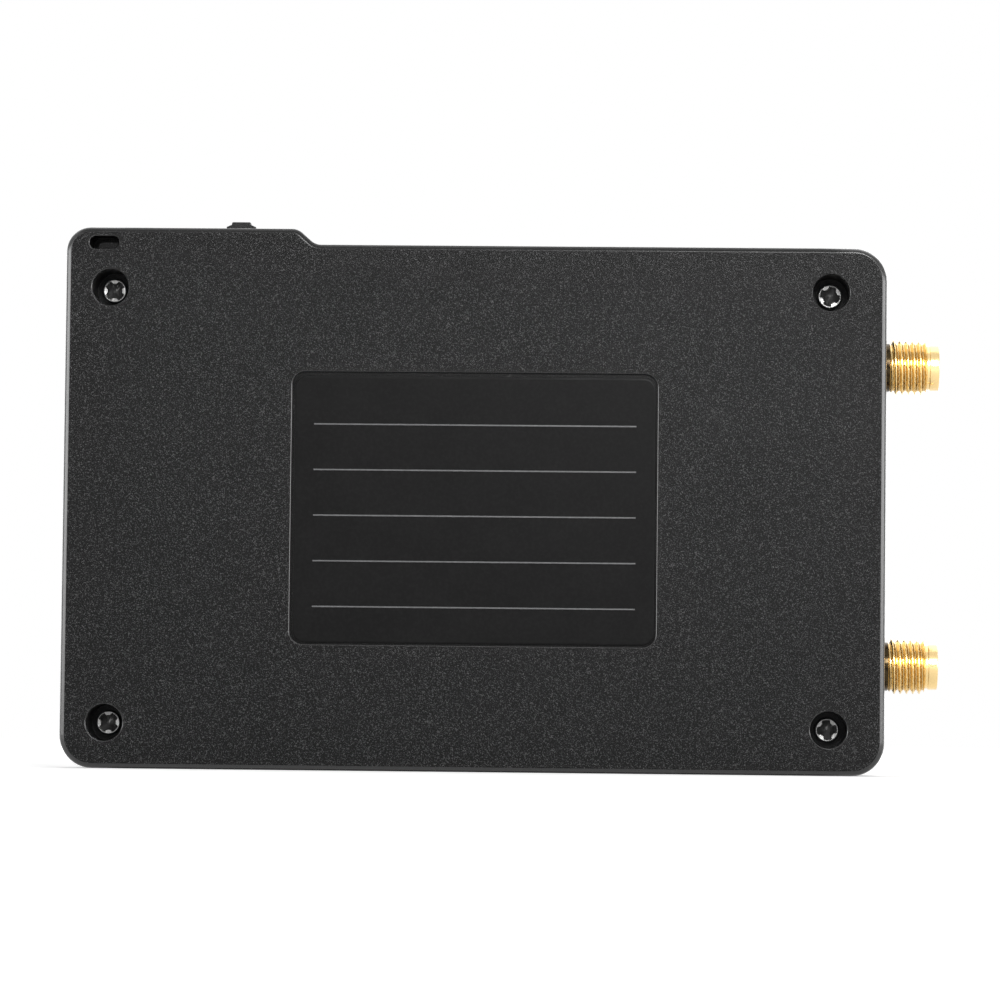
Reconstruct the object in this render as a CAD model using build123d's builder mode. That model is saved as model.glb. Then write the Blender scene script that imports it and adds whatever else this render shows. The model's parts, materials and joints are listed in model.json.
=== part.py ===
from build123d import *
import os

# A pocket network analyzer, standing on its long bottom edge. Millimetres.
# X runs across the case towards the two ports, Y from the back cover to the screen, Z up.
# The origin is the centre of the bottom face.

# ---- Case: two moulded half shells ----
case_w = 92.6
case_h = 59.3
case_t = 18.5
shoulder_rise = 1.77
slope_top_x = -20.15
slope_foot_x = -18.15
corner_r = 3.7
shoulder_corner_r = 2.7
slope_r = 1.75
edge_r = 0.65
seam_bevel = 0.12
wall = 1.8
split_y = 0.45
lip_t = 0.8
lip_depth = 1.2
fit_gap = 0.1
rim_r = 0.15

half_w = case_w / 2
back_y = -case_t / 2
front_y = case_t / 2
back_floor_y = back_y + wall
front_floor_y = front_y - wall
shoulder_h = case_h + shoulder_rise

# ---- Circuit board, clamped between the screw posts ----
board_w = 85.5
board_h = 54.0
board_t = 1.6
board_corner_r = 1.5
board_x = -0.6
board_z = 29.7
board_front_y = 0.0
board_back_y = board_front_y - board_t
board_right_x = board_x + board_w / 2

# ---- Cover screws, in counterbores at the four corners ----
screw_span_x = 81.3
screw_span_z = 49.1
counterbore_r = 2.07
head_depth = 4.45
head_t = 1.1
head_r = 1.38
head_flat_r = 1.1
shank_r = 0.85
shank_end_y = 4.0
shank_point = 0.6
recess_wing = 2.2
recess_slot = 0.8
recess_depth = 0.7
screw_turns = (45, 72, 47, 6)
screw_hole_r = 1.0
board_hole_r = 1.1
pilot_hole_r = 0.87
pilot_depth = 5.0
back_post_r = 3.4
front_post_r = 2.2

# ---- Label recess in the back ----
recess_w = 41.15
recess_h = 30.73
recess_corner_r = 1.5
recess_floor = 0.45
recess_centre = (0.055, 29.53)
label_w = 40.7
label_h = 30.1
label_t = 0.15
label_centre = (0.12, 29.395)
label_corner_r = 1.4

# ---- Lanyard channel in the shoulder ----
strap_centre = (-42.0, 59.32)
strap_w = 3.37
strap_h = 1.47
strap_end_y = -5.0
strap_exit_y = -6.0
strap_exit_t = 1.9
strap_block_w = 5.4
strap_block_h = 2.4
strap_block_t = 3.3
ledge_left_x = -42.75
ledge_w = 2.6
ledge_top_z = 59.4
ledge_h = 0.95
ledge_y = -7.95
ledge_r = 0.4

# ---- Screen stack behind the window ----
screen_centre = (-0.6, 29.65)
window_w = 58.6
window_h = 44.2
window_corner_r = 0.8
window_bevel = 1.2
display_w = 69.2
display_h = 50.0
display_corner_r = 0.6
gasket_t = 0.4
gasket_inset = 0.3
gasket_band = 4.2
touch_t = 1.2
glass_t = 1.0
glass_inset = 0.3
backlight_t = 1.4
rib_gap = 0.3
rib_t = 0.8
rib_h = 2.05
flex_w = 18.0
flex_t = 0.2
flex_bend_r = 0.9
flex_low_z = 3.0
flex_end_z = 9.5

gasket_y = front_floor_y - gasket_t
touch_y = gasket_y - touch_t
glass_y = touch_y - glass_t
backlight_y = glass_y - backlight_t

# ---- Threaded coaxial ports, 1/4-36 thread, axis on the case's parting plane ----
port_zs = (46.65, 12.5)
port_hole_r = 3.3
flange_size = 6.35
flange_t = 1.6
flange_bevel = 0.5
leg_w = 1.1
leg_t = 1.1
leg_length = 4.0
thread_r = 3.125
root_r = 2.7
thread_pitch = 0.7056
crest_flat = 0.1
root_flat = 0.09
last_crest_x = 51.08
crest_count = 6
groove_x = 51.35
groove_end_x = 51.65
groove_r = 2.5
tip_x = 52.7
tip_r = 2.62
tip_bevel = 0.12
socket_r = 2.3
socket_depth = 1.93
insulator_r = 2.03
contact_r = 0.64
contact_bore_r = 0.47
contact_bore_depth = 2.6
contact_slot = 0.14
tail_r = 0.45
tail_length = 3.6
slip_gap = 0.02

# ---- USB-C socket through the left wall ----
usb_z = 29.65
usb_w = 8.94
usb_h = 3.16
usb_t = 0.3
usb_length = 7.3
usb_mouth_x = -45.65
usb_y = board_front_y + usb_h / 2
usb_opening_w = 9.6
usb_opening_h = 3.8
usb_base_length = 1.75
tongue_w = 6.6
tongue_t = 0.7
tongue_length = 4.7
usb_gap = 0.03

# ---- Battery on the board's back ----
cell_w = 48.0
cell_h = 34.0
cell_t = 5.0
cell_centre = (3.0, 29.65)
cell_edge_r = 1.4
tape_w = 40.0
tape_h = 26.0
tape_t = 0.4
terrace_w = 3.2
terrace_h = 28.0
terrace_t = 0.4
guard_w = 2.8
guard_h = 26.0
guard_t = 0.8
socket_centre = (-35.2, 29.65)
battery_socket_size = (4.6, 6.4, 3.4)
socket_mouth = (2.8, 4.6, 2.3)
socket_mouth_y = -3.35
plug_gap = 0.05
plug_length = 4.1
lead_r = 0.45
lead_pitch = 1.4
lead_spread = 5.0
lead_bend_r = 3.3
lead_run = 2.4

# ---- Jog switch: rocks about a pin on a carrier that pushes in ----
jog_x = -27.4
jog_w = 8.4
jog_low_z = 52.6
jog_top_z = 58.9
jog_t = 3.05
jog_floor_t = 0.45
jog_wall = 0.8
jog_plate_t = 0.2
carrier_low_z = 54.3
carrier_top_z = 57.9
carrier_gap = 0.1
carrier_slot_w = 3.2
carrier_slot_z = 54.95
pivot_z = 56.4
pivot_r = 0.4
pivot_bore_r = 0.44
hub_r = 1.3
hub_t = 1.2
neck_w = 1.8
lever_t = 1.8
lever_y = 1.65
lever_hub_gap = 0.07
lever_flare_z = 59.6
lever_full_z = 60.15
lever_wide = 3.36
lever_shoulder_z = 62.3
lever_step_z = 62.55
lever_tip_w = 2.2
lever_top_z = 62.87
lever_tip_r = 0.18
lever_edge_r = 0.16
dome_r = 1.65
dome_rise = 0.42
dome_t = 0.12
jog_window_w = 5.8
jog_window_y = 2.85

# ---- Power slide switch ----
power_x = -35.6
power_travel = 1.6
power_w = 6.4
power_low_z = 54.2
power_top_z = 58.2
power_t = 2.6
slider_w = 2.8
slider_low_z = 56.0
slider_top_z = 57.8
slider_y = 0.55
slider_t = 1.5
stem_w = 1.4
stem_t = 1.3
knob_w = 1.6
knob_low_z = 59.7
knob_top_z = 61.7
knob_ridge = 0.22
power_window_w = 3.8
power_window_y = 2.25

# ---- Parts on the board's front ----
chip_standoff = 0.05
chip_bevel = 0.12
chip_mark_r = 0.28
chip_mark_depth = 0.08
lead_foot_t = 0.16
shield_h = 2.2
shield_t = 0.25
shield_corner_r = 0.8
shield_edge_r = 0.4
shield_vent_r = 0.6
shield_vent_pitch = 4.2
light_x = -40.3
light_zs = (40.0, 43.5)
light_size = (1.6, 0.8, 0.65)
light_hole_r = 0.8

os.makedirs("parts", exist_ok=True)
pieces = {}


def face_at(y):
    """Plane at depth y that faces the back: extrude runs backwards, a negative amount forwards."""
    return Plane.XZ.offset(-y)


def corners(centre, span_x, span_z):
    """Four corner points of a rectangle about a centre, left to right and top to bottom."""
    x, z = centre
    rows = (z + span_z / 2, z - span_z / 2)
    return [(px, pz) for pz in rows for px in (x - span_x / 2, x + span_x / 2)]


screw_points = corners((board_x, board_z), screw_span_x, screw_span_z)

# ---- Case outlines, drawn once and inset for the walls, the lip and its rebate ----
with BuildSketch() as outer_outline:
    with BuildLine():
        FilletPolyline(
            (-half_w, 0),
            (half_w, 0),
            (half_w, case_h),
            (slope_foot_x, case_h),
            (slope_top_x, shoulder_h),
            (-half_w, shoulder_h),
            radius=[corner_r, corner_r, corner_r, slope_r, slope_r, shoulder_corner_r],
            close=True,
        )
    make_face()


def inset_outline(distance):
    """The case outline, moved inwards by a distance."""
    with BuildSketch() as inset:
        add(outer_outline.sketch)
        offset(amount=-distance, mode=Mode.REPLACE)
    return inset.sketch


inner_outline = inset_outline(wall)
lip_outline = inset_outline(wall - lip_t)
rebate_outline = inset_outline(wall - lip_t - fit_gap)


# Cutter for the two port holes and the USB opening, used on both covers
with BuildPart() as side_openings:
    with BuildSketch(Plane.YZ.offset(half_w - 2 * wall)):
        with Locations(*[(split_y, z) for z in port_zs]):
            Circle(port_hole_r)
    extrude(amount=3 * wall)
    with BuildSketch(Plane.YZ.offset(-half_w - wall)):
        with Locations((usb_y, usb_z)):
            SlotOverall(usb_opening_w, usb_opening_h, rotation=90)
    extrude(amount=3 * wall)


def soften_face_rims(face, radius):
    """Round the edges of every hole and recess in a face of the open part."""
    fillet(ShapeList([edge for wire in face.inner_wires() for edge in wire.edges()]), radius)


# ---- Back cover ----
with BuildPart() as back_cover:
    with BuildSketch(face_at(split_y)):
        add(outer_outline.sketch)
    extrude(amount=split_y - back_y)
    fillet(back_cover.faces().sort_by(Axis.Y)[0].edges(), edge_r)
    chamfer(back_cover.faces().sort_by(Axis.Y)[-1].edges(), seam_bevel)
    with BuildSketch(face_at(split_y)):
        add(inner_outline)
    extrude(amount=split_y - back_floor_y, mode=Mode.SUBTRACT)
    with BuildSketch(face_at(split_y)):
        add(rebate_outline)
    extrude(amount=lip_depth + fit_gap, mode=Mode.SUBTRACT)
    # Posts that the board rests on, with the screw holes down through them
    with BuildSketch(face_at(board_back_y)):
        with Locations(*screw_points):
            Circle(back_post_r)
    extrude(amount=board_back_y - back_floor_y)
    with Locations(face_at(back_y)):
        with Locations(*screw_points):
            CounterBoreHole(screw_hole_r, counterbore_r, head_depth + head_t, board_back_y - back_y)
    # Shallow recess for the label
    with BuildSketch(face_at(back_y)):
        with Locations(recess_centre):
            RectangleRounded(recess_w, recess_h, recess_corner_r)
    extrude(amount=-recess_floor, mode=Mode.SUBTRACT)
    # Closed channel for a wrist strap: in at the back, out at the top
    with BuildSketch(face_at(back_floor_y + strap_block_t)):
        with Locations((strap_centre[0], case_h - strap_block_h / 2)):
            Rectangle(strap_block_w, strap_block_h)
    extrude(amount=strap_block_t)
    with BuildSketch(face_at(back_y)):
        with Locations(strap_centre):
            SlotOverall(strap_w, strap_h)
    extrude(amount=back_y - strap_end_y, mode=Mode.SUBTRACT)
    with BuildSketch(Plane.XY.offset(strap_centre[1])):
        with Locations((strap_centre[0], strap_exit_y)):
            SlotOverall(strap_w, strap_exit_t)
    extrude(amount=shoulder_h - strap_centre[1], mode=Mode.SUBTRACT)
    soften_face_rims(back_cover.faces().sort_by(Axis.Y)[0], rim_r)
    # Low ledge inside the channel
    with BuildSketch(face_at(ledge_y)) as ledge:
        with Locations((ledge_left_x + ledge_w / 2, ledge_top_z - ledge_h / 2)):
            Rectangle(ledge_w, ledge_h)
        fillet(ledge.vertices().group_by(Axis.Y)[-1].sort_by(Axis.X)[0], ledge_r)
    extrude(amount=ledge_y - strap_end_y)
    add(side_openings.part, mode=Mode.SUBTRACT)
pieces["back_cover"] = back_cover

# ---- Front cover ----
with BuildPart() as front_cover:
    with BuildSketch(face_at(front_y)):
        add(outer_outline.sketch)
    extrude(amount=front_y - split_y)
    fillet(front_cover.faces().sort_by(Axis.Y)[-1].edges(), edge_r)
    chamfer(front_cover.faces().sort_by(Axis.Y)[0].edges(), seam_bevel)
    with BuildSketch(face_at(front_floor_y)):
        add(inner_outline)
    extrude(amount=front_floor_y - split_y, mode=Mode.SUBTRACT)
    with BuildSketch(face_at(split_y)):
        add(lip_outline)
        add(inner_outline, mode=Mode.SUBTRACT)
    extrude(amount=lip_depth)
    # Rib that locates the display
    with BuildSketch(face_at(front_floor_y)):
        with Locations(screen_centre):
            rib_span = 2 * (rib_gap + rib_t)
            Rectangle(display_w + rib_span, display_h + rib_span)
            Rectangle(display_w + 2 * rib_gap, display_h + 2 * rib_gap, mode=Mode.SUBTRACT)
    extrude(amount=rib_h)
    # Posts that clamp the board, with the screws' pilot holes
    with BuildSketch(face_at(board_front_y)):
        with Locations(*screw_points):
            Circle(front_post_r)
    extrude(amount=board_front_y - front_floor_y)
    with BuildSketch(face_at(board_front_y)):
        with Locations(*screw_points):
            Circle(pilot_hole_r)
    extrude(amount=-pilot_depth, mode=Mode.SUBTRACT)
    # Bevelled window
    with BuildSketch(face_at(front_y)):
        with Locations(screen_centre):
            RectangleRounded(window_w, window_h, window_corner_r)
    extrude(amount=wall, mode=Mode.SUBTRACT)
    window_rim = front_cover.faces().sort_by(Axis.Y)[-1].inner_wires()[0].edges()
    chamfer(window_rim, window_bevel)
    # Status light holes
    with BuildSketch(face_at(front_y)):
        with Locations(*[(light_x, z) for z in light_zs]):
            Circle(light_hole_r)
    extrude(amount=wall, mode=Mode.SUBTRACT)
    # Windows in the top wall for the jog lever and the power knob, open to the parting plane
    for centre_x, width, far_y in (
        (jog_x, jog_window_w, jog_window_y),
        (power_x, power_window_w, power_window_y),
    ):
        near_y = split_y - lip_depth - fit_gap
        with BuildSketch(Plane.XY.offset(shoulder_h)):
            with Locations((centre_x, (near_y + far_y) / 2)):
                Rectangle(width, far_y - near_y)
        extrude(amount=-wall - lip_t, mode=Mode.SUBTRACT)
    add(side_openings.part, mode=Mode.SUBTRACT)
pieces["front_cover"] = front_cover

# ---- Label, lying on the floor of its recess ----
with BuildPart() as back_label:
    with BuildSketch(face_at(back_y + recess_floor)):
        with Locations(label_centre):
            RectangleRounded(label_w, label_h, label_corner_r)
    extrude(amount=label_t)
pieces["back_label"] = back_label

# ---- Cover screws: pan heads with a cross recess ----
head_top_y = back_y + head_depth
head_low_y = head_top_y + head_t
with BuildPart() as cover_screws:
    for (x, z), turn in zip(screw_points, screw_turns):
        with BuildSketch(Plane((x, 0, z), x_dir=(1, 0, 0), z_dir=(0, 0, 1))):
            with BuildLine():
                Line((0, head_top_y), (head_flat_r, head_top_y))
                crown_end = (head_r, head_top_y + head_r - head_flat_r)
                TangentArc((head_flat_r, head_top_y), crown_end, tangent=(1, 0))
                Polyline(
                    crown_end,
                    (head_r, head_low_y),
                    (shank_r, head_low_y),
                    (shank_r, shank_end_y - shank_point),
                    (0, shank_end_y),
                    (0, head_top_y),
                )
            make_face()
        revolve(axis=Axis((x, 0, z), (0, 1, 0)))
        with BuildSketch(face_at(head_top_y)):
            with Locations((x, z)):
                Rectangle(recess_wing, recess_slot, rotation=turn)
                Rectangle(recess_slot, recess_wing, rotation=turn)
        extrude(amount=-recess_depth, mode=Mode.SUBTRACT)
pieces["cover_screws"] = cover_screws


# ---- Screen stack ----
def make_pane(y, thickness, width, height, edge):
    """Flat rectangular pane of the display stack, with its back face at depth y."""
    with BuildPart() as pane:
        with BuildSketch(face_at(y)):
            with Locations(screen_centre):
                RectangleRounded(width, height, display_corner_r)
        extrude(amount=-thickness)
        chamfer(pane.faces().sort_by(Axis.Y)[-1].edges(), edge)
    return pane


pieces["touch_panel"] = make_pane(touch_y, touch_t, display_w, display_h, 0.1)
pieces["lcd_glass"] = make_pane(
    glass_y, glass_t, display_w - 2 * glass_inset, display_h - 2 * glass_inset, 0.1
)
pieces["lcd_backlight"] = make_pane(backlight_y, backlight_t, display_w, display_h, 0.2)

with BuildPart() as screen_gasket:
    gasket_w = display_w - 2 * gasket_inset
    gasket_h = display_h - 2 * gasket_inset
    with BuildSketch(face_at(gasket_y)):
        with Locations(screen_centre):
            RectangleRounded(gasket_w, gasket_h, display_corner_r)
            Rectangle(gasket_w - 2 * gasket_band, window_h + gasket_t, mode=Mode.SUBTRACT)
    extrude(amount=-gasket_t)
pieces["screen_gasket"] = screen_gasket

# The ribbon leaves the glass's lower edge, turns under the backlight and lies up the board
with BuildPart() as lcd_flex:
    glass_low_z = screen_centre[1] - display_h / 2 + glass_inset
    ribbon_y = glass_y + flex_t
    with BuildSketch(Plane.YZ.offset(screen_centre[0] - flex_w / 2)):
        with BuildLine():
            FilletPolyline(
                (ribbon_y, glass_low_z),
                (ribbon_y, flex_low_z),
                (board_front_y + flex_t / 2, flex_low_z),
                (board_front_y + flex_t / 2, flex_end_z),
                radius=flex_bend_r,
            )
        trace(line_width=flex_t)
    extrude(amount=flex_w)
pieces["lcd_flex"] = lcd_flex

# ---- Circuit board ----
with BuildPart() as circuit_board:
    with BuildSketch(face_at(board_front_y)):
        with Locations((board_x, board_z)):
            RectangleRounded(board_w, board_h, board_corner_r)
        with Locations(*screw_points):
            Circle(board_hole_r, mode=Mode.SUBTRACT)
    extrude(amount=board_t)
pieces["circuit_board"] = circuit_board


# ---- Chips on the board's front ----
def make_chips(centres, size, leads=0, pitch=1.27, reach=1.0, four_sided=False):
    """Moulded chips of one kind, each with a pin-one dimple and rows of flat feet.

    size is width, height and thickness, and leads is the count of feet on each side.
    """
    width, height, thickness = size
    foot_w = pitch * 0.45
    with BuildPart() as chips:
        with BuildSketch(face_at(board_front_y + chip_standoff)):
            with Locations(*centres):
                Rectangle(width, height)
        extrude(amount=-thickness)
        chamfer(chips.faces().group_by(Axis.Y)[-1].edges(), chip_bevel)
        with BuildSketch(face_at(board_front_y + chip_standoff + thickness)):
            with Locations(*centres):
                with Locations((chip_mark_r * 3 - width / 2, height / 2 - chip_mark_r * 3)):
                    Circle(chip_mark_r)
        extrude(amount=chip_mark_depth, mode=Mode.SUBTRACT)
        if leads:
            with BuildSketch(face_at(board_front_y)):
                with Locations(*centres):
                    with GridLocations(width + reach, pitch, 2, leads):
                        Rectangle(reach + chip_bevel, foot_w)
                    if four_sided:
                        with GridLocations(pitch, height + reach, leads, 2):
                            Rectangle(foot_w, reach + chip_bevel)
            extrude(amount=-lead_foot_t)
    return chips


mixer_centres = ((26.0, 44.6), (26.0, 29.6), (26.0, 14.6))
pieces["microcontroller"] = make_chips([(-12.0, 30.0)], (7.0, 7.0, 1.4), 12, 0.5, 1.0, True)
pieces["microcontroller_crystal"] = make_chips([(-12.0, 38.5)], (3.2, 2.5, 0.8))
pieces["clock_generator"] = make_chips([(8.0, 29.6)], (3.0, 3.0, 1.0), 5, 0.5, 0.9)
pieces["clock_oscillator"] = make_chips([(8.0, 35.4)], (3.2, 2.5, 0.9))
pieces["audio_codec"] = make_chips([(-2.0, 17.5)], (5.0, 5.0, 0.9))
pieces["mixer_chips"] = make_chips(mixer_centres, (3.9, 4.9, 1.4), 4, 1.27, 1.0)
pieces["charger_chip"] = make_chips([(-31.0, 36.5)], (3.9, 4.9, 1.4), 4, 1.27, 1.0)
pieces["voltage_regulators"] = make_chips(
    [(-32.0, 19.0), (-26.5, 19.0), (-21.0, 19.0)], (1.6, 2.9, 1.1), 3, 0.95, 0.6
)

with BuildPart() as boost_inductor:
    with BuildSketch(face_at(board_front_y)):
        with Locations((-30.5, 45.5)):
            RectangleRounded(4.4, 4.2, 0.8)
    extrude(amount=-2.0)
    chamfer(boost_inductor.faces().sort_by(Axis.Y)[-1].edges(), 0.3)
pieces["boost_inductor"] = boost_inductor

# Chip capacitors stand in rows beside the chips that they serve
capacitor_rows = (((-12.0, 22.3), 6, 1), ((-1.5, 24.5), 4, 1), ((10.0, 22.5), 3, 2))
with BuildPart() as small_capacitors:
    with BuildSketch(face_at(board_front_y)):
        for centre, columns, rows in capacitor_rows:
            with Locations(centre):
                with GridLocations(2.2, 3.0, columns, rows):
                    Rectangle(0.8, 1.6)
    extrude(amount=-0.8)
    chamfer(small_capacitors.faces().group_by(Axis.Y)[-1].edges(), 0.08)
pieces["small_capacitors"] = small_capacitors

with BuildPart() as status_leds:
    with BuildSketch(face_at(board_front_y)):
        with Locations(*[(light_x, z) for z in light_zs]):
            Rectangle(light_size[1], light_size[0])
    extrude(amount=-light_size[2])
    chamfer(status_leds.faces().group_by(Axis.Y)[-1].edges(), 0.1)
pieces["status_leds"] = status_leds


# ---- Shield cans over the three mixers ----
def make_shield(centre, width, height):
    """Drawn sheet can, open to the board, with vent holes in its lid."""
    with BuildPart() as shield:
        with BuildSketch(face_at(board_front_y)):
            with Locations(centre):
                RectangleRounded(width, height, shield_corner_r)
        extrude(amount=-shield_h)
        fillet(shield.faces().sort_by(Axis.Y)[-1].edges(), shield_edge_r)
        with BuildSketch(face_at(board_front_y)):
            with Locations(centre):
                inner_r = shield_corner_r - shield_t
                RectangleRounded(width - 2 * shield_t, height - 2 * shield_t, inner_r)
        extrude(amount=shield_t - shield_h, mode=Mode.SUBTRACT)
        with BuildSketch(face_at(board_front_y)):
            with Locations(centre):
                with GridLocations(shield_vent_pitch, shield_vent_pitch, 3, 2):
                    Circle(shield_vent_r)
        extrude(amount=-shield_h, mode=Mode.SUBTRACT)
    return shield


shield_heights = {"shield_reflection": 13.6, "shield_reference": 12.4, "shield_through": 13.6}
for (name, height), centre in zip(shield_heights.items(), mixer_centres):
    pieces[name] = make_shield(centre, 16.0, height)


# ---- Ports: flanged jack, insulator and slotted centre contact ----
def port_profile():
    """Radius of the jack's barrel along its axis: plain neck, ring threads, groove, plain tip."""
    flank = (thread_pitch - crest_flat - root_flat) / 2
    points = [(board_right_x + flange_t, 0), (board_right_x + flange_t, root_r)]
    for turn in reversed(range(crest_count)):
        crest = last_crest_x - turn * thread_pitch
        points.append((crest - crest_flat / 2 - flank, root_r))
        points.append((crest - crest_flat / 2, thread_r))
        points.append((crest + crest_flat / 2, thread_r))
    points.append((groove_x, groove_r))
    points.append((groove_end_x, groove_r))
    points.append((groove_end_x, tip_r))
    points.append((tip_x - tip_bevel, tip_r))
    points.append((tip_x, tip_r - tip_bevel))
    points.append((tip_x, 0))
    return points


for number, port_z in enumerate(port_zs):
    port_axis = Axis((0, split_y, port_z), (1, 0, 0))
    port_side = Plane((0, split_y, port_z), x_dir=(1, 0, 0), z_dir=(0, -1, 0))

    with BuildPart() as port_body:
        with BuildSketch(port_side):
            with BuildLine():
                Polyline(*port_profile(), close=True)
            make_face()
        revolve(axis=port_axis)
        with BuildSketch(Plane.YZ.offset(board_right_x)) as flange:
            with Locations((split_y, port_z)):
                Rectangle(flange_size, flange_size)
            chamfer(flange.vertices(), flange_bevel)
        extrude(amount=flange_t)
        # Four legs straddle the board's edge
        with BuildSketch(Plane.YZ.offset(board_right_x)):
            leg_z = flange_size / 2 - leg_w / 2 - flange_bevel
            for leg_y in (board_front_y + leg_t / 2, board_back_y - leg_t / 2):
                with Locations((leg_y, port_z - leg_z), (leg_y, port_z + leg_z)):
                    Rectangle(leg_t, leg_w)
        extrude(amount=-leg_length)
        with BuildSketch(Plane.YZ.offset(board_right_x)):
            with Locations((split_y, port_z)):
                Circle(insulator_r + slip_gap)
        extrude(amount=tip_x - board_right_x, mode=Mode.SUBTRACT)
        with BuildSketch(Plane.YZ.offset(tip_x)):
            with Locations((split_y, port_z)):
                Circle(socket_r)
        extrude(amount=-socket_depth, mode=Mode.SUBTRACT)
    pieces[f"port_{number}_body"] = port_body

    contact_front_x = tip_x - socket_depth
    with BuildPart() as port_insulator:
        with BuildSketch(Plane.YZ.offset(board_right_x)):
            with Locations((split_y, port_z)):
                Circle(insulator_r)
                Circle(contact_r + slip_gap, mode=Mode.SUBTRACT)
        extrude(amount=contact_front_x - board_right_x)
    pieces[f"port_{number}_insulator"] = port_insulator

    with BuildPart() as port_contact:
        with BuildSketch(Plane.YZ.offset(contact_front_x)):
            with Locations((split_y, port_z)):
                Circle(contact_r)
        extrude(amount=board_right_x - contact_front_x)
        with BuildSketch(Plane.YZ.offset(board_right_x)):
            with Locations((split_y, port_z)):
                Circle(tail_r)
        extrude(amount=-tail_length)
        with BuildSketch(Plane.YZ.offset(contact_front_x)):
            with Locations((split_y, port_z)):
                Circle(contact_bore_r)
                Rectangle(2 * contact_r, contact_slot)
                Rectangle(contact_slot, 2 * contact_r)
        extrude(amount=-contact_bore_depth, mode=Mode.SUBTRACT)
    pieces[f"port_{number}_contact"] = port_contact

# ---- USB-C socket ----
with BuildPart() as usb_shell:
    with BuildSketch(Plane.YZ.offset(usb_mouth_x)):
        with Locations((usb_y, usb_z)):
            SlotOverall(usb_w, usb_h, rotation=90)
    extrude(amount=usb_length)
    with BuildSketch(Plane.YZ.offset(usb_mouth_x)):
        with Locations((usb_y, usb_z)):
            SlotOverall(usb_w - 2 * usb_t, usb_h - 2 * usb_t, rotation=90)
    extrude(amount=usb_length - usb_t, mode=Mode.SUBTRACT)
    fillet(usb_shell.faces().sort_by(Axis.X)[0].edges(), usb_t / 3)
pieces["usb_shell"] = usb_shell

with BuildPart() as usb_tongue:
    usb_rear_x = usb_mouth_x + usb_length - usb_t - usb_gap
    usb_shrink = 2 * (usb_t + usb_gap)
    with BuildSketch(Plane.YZ.offset(usb_rear_x)):
        with Locations((usb_y, usb_z)):
            SlotOverall(usb_w - usb_shrink, usb_h - usb_shrink, rotation=90)
    extrude(amount=-usb_base_length)
    with BuildSketch(Plane.YZ.offset(usb_rear_x - usb_base_length)):
        with Locations((usb_y, usb_z)):
            RectangleRounded(tongue_t, tongue_w, tongue_t / 3)
    extrude(amount=-tongue_length)
pieces["usb_tongue"] = usb_tongue

# ---- Battery: pouch cell with a protection board on its terrace, taped to the board ----
cell_front_y = board_back_y - tape_t
cell_left_x = cell_centre[0] - cell_w / 2
cell_mid_y = cell_front_y - cell_t / 2

with BuildPart() as battery_tape:
    with BuildSketch(face_at(board_back_y)):
        with Locations(cell_centre):
            RectangleRounded(tape_w, tape_h, display_corner_r)
    extrude(amount=tape_t)
pieces["battery_tape"] = battery_tape

with BuildPart() as battery_cell:
    with BuildSketch(face_at(cell_front_y)):
        with Locations(cell_centre):
            RectangleRounded(cell_w, cell_h, cell_edge_r)
    extrude(amount=cell_t)
    fillet(battery_cell.edges().filter_by(Axis.Z), cell_edge_r)
    with BuildSketch(face_at(cell_mid_y + terrace_t / 2)):
        with Locations((cell_left_x - terrace_w / 2 + cell_edge_r, cell_centre[1])):
            Rectangle(terrace_w + 2 * cell_edge_r, terrace_h)
    extrude(amount=terrace_t)
pieces["battery_cell"] = battery_cell

guard_y = cell_mid_y + terrace_t / 2
guard_left_x = cell_left_x - terrace_w
with BuildPart() as battery_protection_board:
    with BuildSketch(face_at(guard_y)):
        with Locations((guard_left_x + guard_w / 2, cell_centre[1])):
            Rectangle(guard_w, guard_h)
    extrude(amount=-guard_t)
pieces["battery_protection_board"] = battery_protection_board

socket_w, socket_h, socket_t = battery_socket_size
socket_right_x = socket_centre[0] + socket_w / 2
mouth_w, mouth_h, mouth_t = socket_mouth
with BuildPart() as battery_socket:
    with BuildSketch(face_at(board_back_y)):
        with Locations(socket_centre):
            Rectangle(socket_w, socket_h)
    extrude(amount=socket_t)
    with BuildSketch(Plane.YZ.offset(socket_right_x)):
        with Locations((socket_mouth_y, socket_centre[1])):
            Rectangle(mouth_t, mouth_h)
    extrude(amount=-mouth_w, mode=Mode.SUBTRACT)
    chamfer(battery_socket.faces().sort_by(Axis.Y)[0].edges(), chip_bevel)
pieces["battery_socket"] = battery_socket

plug_left_x = socket_right_x - mouth_w + plug_gap
with BuildPart() as battery_plug:
    with BuildSketch(Plane.YZ.offset(plug_left_x)):
        with Locations((socket_mouth_y, socket_centre[1])):
            Rectangle(mouth_t - 2 * plug_gap, mouth_h - 2 * plug_gap)
    extrude(amount=plug_length)
    chamfer(battery_plug.faces().sort_by(Axis.X)[-1].edges(), chip_bevel)
pieces["battery_plug"] = battery_plug

plug_right_x = plug_left_x + plug_length
lead_y = guard_y + guard_t / 2
for name, side in (("battery_lead_positive", 1), ("battery_lead_negative", -1)):
    start_z = cell_centre[1] + side * lead_spread / 2
    end_z = socket_centre[1] + side * lead_pitch / 2
    with BuildPart() as battery_lead:
        with BuildLine() as lead_route:
            FilletPolyline(
                (guard_left_x, lead_y, start_z),
                (guard_left_x - lead_run, lead_y, start_z),
                (plug_right_x + lead_run, socket_mouth_y, end_z),
                (plug_right_x, socket_mouth_y, end_z),
                radius=lead_bend_r,
            )
        with BuildSketch(Plane((guard_left_x, lead_y, start_z), z_dir=(-1, 0, 0))):
            Circle(lead_r)
        sweep(path=lead_route.wires()[0])
    pieces[name] = battery_lead

# ---- Jog switch ----
jog_mid_z = (jog_low_z + jog_top_z) / 2
jog_cavity_w = jog_w - 2 * jog_wall
jog_cavity_low_z = jog_low_z + jog_wall
carrier_back_y = jog_floor_t + carrier_gap
carrier_t = jog_t - jog_floor_t - 2 * carrier_gap
hub_back_y = lever_y - hub_t / 2

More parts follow.
